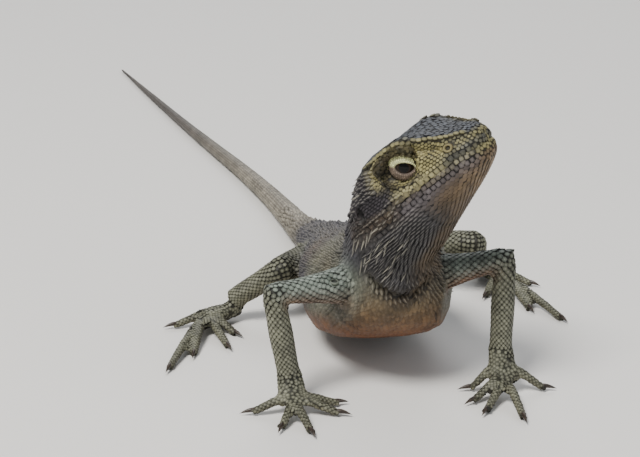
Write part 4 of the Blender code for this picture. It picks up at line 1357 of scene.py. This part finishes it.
for side, way in (("left", 1), ("right", -1)):
    centre = middle(f"eye_{side}")
    low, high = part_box(f"eye_{side}")
    ball = (high.z - low.z) * 500
    directions_here = eye_directions(way)
    look_way = directions_here[0]

    # the ball, with the cornea's slight bulge over the iris
    angles = np.linspace(0, 180, BALL_STEPS + 1)[1:-1]
    spin = np.linspace(0, math.tau, BALL_TURNS, endpoint=False)
    grid_x, grid_y = np.outer(angles, np.cos(spin)), np.outer(angles, np.sin(spin))
    cornea = np.clip(1 - (np.hypot(grid_x, grid_y) / OPENING[0]) ** 2, 0, 1)
    bulge = ball - BALL_SINK + CORNEA_RISE * cornea
    grid = on_ball(centre, directions_here, grid_x, grid_y, bulge).reshape(-1, 3)
    front, rear = centre + look_way * (ball - BALL_SINK + CORNEA_RISE), centre - look_way * (ball - BALL_SINK)
    last = 1 + (len(angles) - 1) * BALL_TURNS
    faces = fan(BALL_TURNS, 1, 0)
    for start in range(1, last, BALL_TURNS):
        faces += band(BALL_TURNS, start, start + BALL_TURNS)
    faces += fan(BALL_TURNS, last, last + BALL_TURNS, flip=True)
    faces = faces if way < 0 else [f[::-1] for f in faces]
    eye = from_mesh_data(f"eyeball_{side}", [front, *grid, rear], faces, wet)
    rings = np.concatenate([[0], np.repeat(angles, BALL_TURNS), [180]]) / 60
    eye.data.attributes.new("ring", "FLOAT", "POINT").data.foreach_set("value", rings.astype(np.float32))
    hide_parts(f"eye_{side}")

    # the lids: one sheet round the almond, drawn out over the socket until it meets the hide
    t = np.linspace(0, math.tau, LID_TURNS, endpoint=False)
    x_in = ALMOND_FORWARD + OPENING[0] * np.cos(t)
    y_in = np.where(np.sin(t) > 0, OPENING[1], OPENING[2])
    y_in = y_in * np.sign(np.sin(t)) * np.abs(np.sin(t)) ** ALMOND_POINT
    x_out, y_out = LID_EDGE[0] * np.cos(t), LID_EDGE[1] * np.sin(t)
    sheet_x = x_in + LID_SHARES[:, None] * (x_out - x_in)
    sheet_y = y_in + LID_SHARES[:, None] * (y_out - y_in)
    upper = ramp(sheet_y - 2, -3, 3)
    crease = 0.12 * bump(LID_SHARES[:, None] - 0.2, 0.06) * (1 - upper)
    lid_radius = ball + LID_LIFTS[:, None] * (1 + 0.35 * upper) - crease
    lid_radius = np.vstack([lid_radius, np.full(LID_TURNS, ball - 0.3)])  # the sheet's back edge
    sheet_x, sheet_y = np.vstack([sheet_x, sheet_x[-1:]]), np.vstack([sheet_y, sheet_y[-1:]])
    sheet = on_ball(centre, directions_here, sheet_x, sheet_y, lid_radius)
    lid_share = np.append(LID_SHARES, 1.0)
    faces = []
    for i in range(len(sheet)):
        faces += band(LID_TURNS, i * LID_TURNS, (i + 1) % len(sheet) * LID_TURNS)
    faces = faces if way < 0 else [f[::-1] for f in faces]
    lids = from_mesh_data(f"eyelids_{side}", sheet.reshape(-1, 3), faces, lid_finish)
    # The sheet between the grains is kept darker than the grains, partly its own colour and partly painted
    # shade in the gaps.
    carry(lids.data, lid_tint(sheet_y.ravel(), np.repeat(lid_share, LID_TURNS)) * 0.8, 0.5, 0.5)

    # grains on the lids and in the socket, in rings round the almond
    grain_rows, grain_tint, grain_size = [], [], []
    for number, share in enumerate(np.arange(0.075, 0.98, 0.082)):
        after = np.searchsorted(lid_share[2:-1], share) + 2
        inner, outer = sheet[after - 1], sheet[after]
        mix = (share - lid_share[after - 1]) / (lid_share[after] - lid_share[after - 1])
        path = inner * (1 - mix) + outer * mix
        heights = sheet_y[after - 1] * (1 - mix) + sheet_y[after] * mix
        hop = np.roll(path, -1, axis=0) - path
        rise = np.cross(hop, path - inner)
        rise *= np.sign((rise * (path - centre)).sum(1))[:, None]
        walk = np.concatenate([[0], np.cumsum(np.linalg.norm(hop, axis=1))])
        size = np.interp(share, [0, 1], [0.36, 0.52])
        many = int(walk[-1] / (size * 1.06))
        at = (np.arange(many) + 0.5 * (number % 2)) * walk[-1] / many
        outs = unit(round_ring(rise, at, walk))
        row = np.zeros((many, KIND + 1))
        row[:, PLACE], row[:, OUT], row[:, LIE] = round_ring(path, at, walk), outs, np.cross(outs, look_way)
        row[:, PART] = number_of["head"]
        grain_rows.append(row)
        grain_tint.append(lid_tint(round_ring(heights[:, None], at, walk)[:, 0], np.full(many, share)) * 1.1)
        grain_size.append(np.full(many, size))
    size = np.concatenate(grain_size)
    set_scales(
        f"lid_grains_{side}", np.vstack(grain_rows), bead, size, size * 1.08, size * 0.26, 0.0, face_finish,
        tint=np.vstack(grain_tint),
    )

# ------------------------------------------------------------------ nostrils, ears and shoulder pit
# Each nostril is a short round tube in a smooth scale, low on the ridge from eye to snout. Each ear
# is an upright oval with the dark drum sunk in it. A small pit with a swollen rim marks the shoulder.
# Each darkens into its depth with painted shade, which in the ear deepens the drum's own dark.

LATHE_SIDES = 24
# each ring from the middle outward: radius and rise as shares, then its colour
# The nostril's tube darkens into the hole and at its foot with painted shade.
NOSTRIL_RINGS = [
    (0.05, -0.55, (0.03, 0.02, 0.01)), (0.30, -0.5, (0.06, 0.04, 0.016)),
    (0.42, -0.1, (0.15, 0.11, 0.045)), (0.5, 0.16, (0.23, 0.2, 0.09)),
    (0.66, 0.24, (0.27, 0.23, 0.11)), (0.84, 0.16, (0.2, 0.17, 0.08)),
    (0.95, -0.1, (0.09, 0.07, 0.035)), (0.9, -0.5, (0.05, 0.04, 0.02)),
]
# The ear's drum and hollow are near-black: the drum's own dark, deepened with painted shade.
EAR_RINGS = [
    (0.05, -1.5, (0.004, 0.003, 0.003)), (0.62, -1.45, (0.004, 0.003, 0.003)),
    (0.8, -0.8, (0.005, 0.004, 0.004)), (0.84, -0.15, (0.009, 0.007, 0.007)),
    (0.95, 0.08, (0.022, 0.018, 0.019)), (1.1, 0.1, (0.026, 0.021, 0.024)),
    (1.28, -0.05, (0.02, 0.016, 0.018)), (1.4, -0.5, (0.01, 0.009, 0.01)),
]
# From painted shade deep in the pit out to its pale swollen rim.
PIT_TINTS = [
    (0.004, 0.004, 0.004), (0.006, 0.006, 0.005), (0.02, 0.02, 0.018), (0.06, 0.065, 0.055),
    (0.13, 0.15, 0.12), (0.16, 0.18, 0.15), (0.12, 0.14, 0.11), (0.05, 0.06, 0.05),
]
PIT_RINGS = [(radius, rise, tint) for (radius, rise, _), tint in zip(EAR_RINGS, PIT_TINTS)]


def lathed(name, at, out, long, wide, lift, rings):
    """A turned opening let into the hide: half its length runs back and half its width up."""
    along = unit(-head_front + out * (head_front @ out))
    across = np.cross(out, along)
    turn = np.linspace(0, math.tau, LATHE_SIDES, endpoint=False)
    circle = [along * math.cos(a) * long + across * math.sin(a) * wide for a in turn]
    verts = [at + spoke * radius + out * (rise + lift) for radius, rise, _ in rings for spoke in circle]
    last = (len(rings) - 1) * LATHE_SIDES
    faces = [tuple(range(LATHE_SIDES)), tuple(range(last + LATHE_SIDES - 1, last - 1, -1))]
    for start in range(0, last, LATHE_SIDES):
        faces += band(LATHE_SIDES, start, start + LATHE_SIDES)
    made = from_mesh_data(name, verts, faces, lid_finish, outward=True)
    carry(made.data, np.repeat([tint for _, _, tint in rings], LATHE_SIDES, axis=0), 0.4, 0.5)


for side, way in (("left", 1), ("right", -1)):
    for name, spot, long, wide, lift, rings in (
        ("nostril", NOSTRIL, 1.12, 0.9, 0.12, NOSTRIL_RINGS),
        ("ear", EAR, 1.0, 1.45, 0.4, EAR_RINGS),
    ):
        start = from_head(spot[0], way * 20.0, spot[2])
        at, out, _, _ = hide_tree.ray_cast(Vector(start), Vector(-head_left * way), 30)
        out = unit(np.array(out) + head_left * way)
        lathed(f"{name}_{side}", np.array(at), out, long, wide, lift, rings)
at, out, _, _ = hide_tree.find_nearest(Vector(pit_middle))
lathed("shoulder_pit", np.array(at), unit(np.array(out)), 0.72, 0.66, 0.55, PIT_RINGS)

# ------------------------------------------------------------------ claws
# Each toe ends in a short curved claw of dark brown horn, which is drawn out to a point and rooted
# in the toe's tip.

CLAW_SIDES, CLAW_TIP = 12, 1.08
CLAW_SHARES = [-0.15, 0.0, 0.15, 0.3, 0.45, 0.6, 0.75, 0.88, 0.97]  # places along it, and
CLAW_TAPER = [0.8, 1.0, 0.98, 0.9, 0.78, 0.62, 0.44, 0.25, 0.1]  # its thickness there
CLAW_FLAT = 0.85  # its width against its height
CLAW_DARK, CLAW_BROWN = (0.012, 0.008, 0.006, 1), (0.045, 0.03, 0.02, 1)

horn_look, given, out = group(
    "claw horn", [("Grain", "NodeSocketFloat", 1500.0)],
    [("Color", "NodeSocketColor"), ("Roughness", "NodeSocketFloat")],
)
place = node(horn_look, "TexCoord").outputs["Object"]
streaks = node(horn_look, "TexNoise", Vector=place, Scale=given.outputs["Grain"], Detail=3.0).outputs[0]
shade = spread(horn_look, streaks, 0.0, 1.0)
tints = node(horn_look, "Mix", {"data_type": "RGBA"}, _0=shade, _6=CLAW_DARK, _7=CLAW_BROWN)
horn_look.links.new(tints.outputs[2], out.inputs["Color"])
horn_look.links.new(spread(horn_look, streaks, 0.3, 0.48), out.inputs["Roughness"])
claw_finish, tree, skin = material("claw")
look = node(tree, "Group", {"node_tree": horn_look})
tree.links.new(look.outputs["Color"], skin.inputs["Base Color"])
tree.links.new(look.outputs["Roughness"], skin.inputs["Roughness"])

for name in CLAWS:
    solid = solid_points(name)
    way = long_way(solid)
    reach = [hide_tree.find_nearest(Vector(solid[pick(solid @ way)]))[3] for pick in (np.argmin, np.argmax)]
    way = way if reach[0] < reach[1] else -way
    far = solid @ way
    far = (far - far.min()) / (far.max() - far.min())
    cuts = np.array([0.0, 0.35, 0.7, 1.0])
    line = np.array([solid[np.abs(far - c) < 0.15].mean(0) for c in cuts])
    bow = np.polyfit(cuts, line, 2)
    thick = np.linalg.norm(solid[far < 0.15] - line[0], axis=1).mean()
    *centres, tip = (bow[0] * s * s + bow[1] * s + bow[2] for s in (*CLAW_SHARES, CLAW_TIP))
    across = unit(np.cross(way, (0, 0, 1)))
    rise = np.cross(across, way)
    turn = np.linspace(0, math.tau, CLAW_SIDES, endpoint=False)
    circle = [(across * math.cos(a) * CLAW_FLAT + rise * math.sin(a)) * thick for a in turn]
    verts = [at + spoke * size for at, size in zip(centres, CLAW_TAPER) for spoke in circle]
    verts = np.array([*verts, tip])
    verts[:, 2] = np.maximum(verts[:, 2], 0.02)  # it stays just above the ground
    last = (len(centres) - 1) * CLAW_SIDES
    faces = [tuple(range(CLAW_SIDES)), *fan(CLAW_SIDES, last, last + CLAW_SIDES, flip=True)]
    for start in range(0, last, CLAW_SIDES):
        faces += band(CLAW_SIDES, start, start + CLAW_SIDES)
    horn_piece = from_mesh_data(name.replace("claw", "horn"), verts, faces, claw_finish, outward=True)
    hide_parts(name)

# ------------------------------------------------------------------ floor, light and camera
# The model stands on a sheet of pale paper, under a soft warm key lamp from the front left, a weak
# fill from the right and a lamp behind.

FLOOR_TONE, FLOOR_HALF, FLOOR_LEVEL = (0.74, 0.73, 0.71, 1), 3, -0.0002
sheet = bpy.data.meshes.new("floor")
corners = [(x * FLOOR_HALF, y * FLOOR_HALF, FLOOR_LEVEL) for x, y in ((-1, -1), (1, -1), (1, 1), (-1, 1))]
sheet.from_pydata(corners, [], [(0, 1, 2, 3)])
floor = put_out("floor", sheet)
floor_paper, _, skin = material("floor paper")
skin.inputs["Base Color"].default_value = FLOOR_TONE
skin.inputs["Roughness"].default_value = 0.9
sheet.materials.append(floor_paper)


def lamp(name, place, size, power, tint):
    """A square soft lamp that faces the animal."""
    data = bpy.data.lights.new(name, "AREA")
    data.size, data.energy, data.color = size, power, tint
    made = put_out(name, data)
    made.location = place
    made.rotation_euler = (Vector((0, -0.1, 0.03)) - Vector(place)).to_track_quat("-Z", "Y").to_euler()


lamp("key", (-0.45, -0.55, 0.95), 0.35, 17, (1.0, 0.97, 0.92))
lamp("fill", (0.9, -0.9, 0.6), 0.9, 4, (0.92, 0.96, 1.0))
lamp("back", (0.2, 0.9, 0.8), 0.8, 7, (1.0, 1.0, 1.0))
sky = bpy.data.worlds.new("studio")
sky.use_nodes = True
sky.node_tree.nodes["Background"].inputs["Color"].default_value = (0.86, 0.88, 0.92, 1)
sky.node_tree.nodes["Background"].inputs["Strength"].default_value = 0.4
bpy.context.scene.world = sky

lens = bpy.data.cameras.new("camera")
lens.lens, lens.sensor_width = 84.375, 36
camera = put_out("camera", lens)
camera.location = (-0.0626, -0.4077, 0.1298)
camera.rotation_euler = Vector((0.161, 0.932, -0.326)).to_track_quat("-Z", "Y").to_euler()
bpy.context.scene.camera = camera
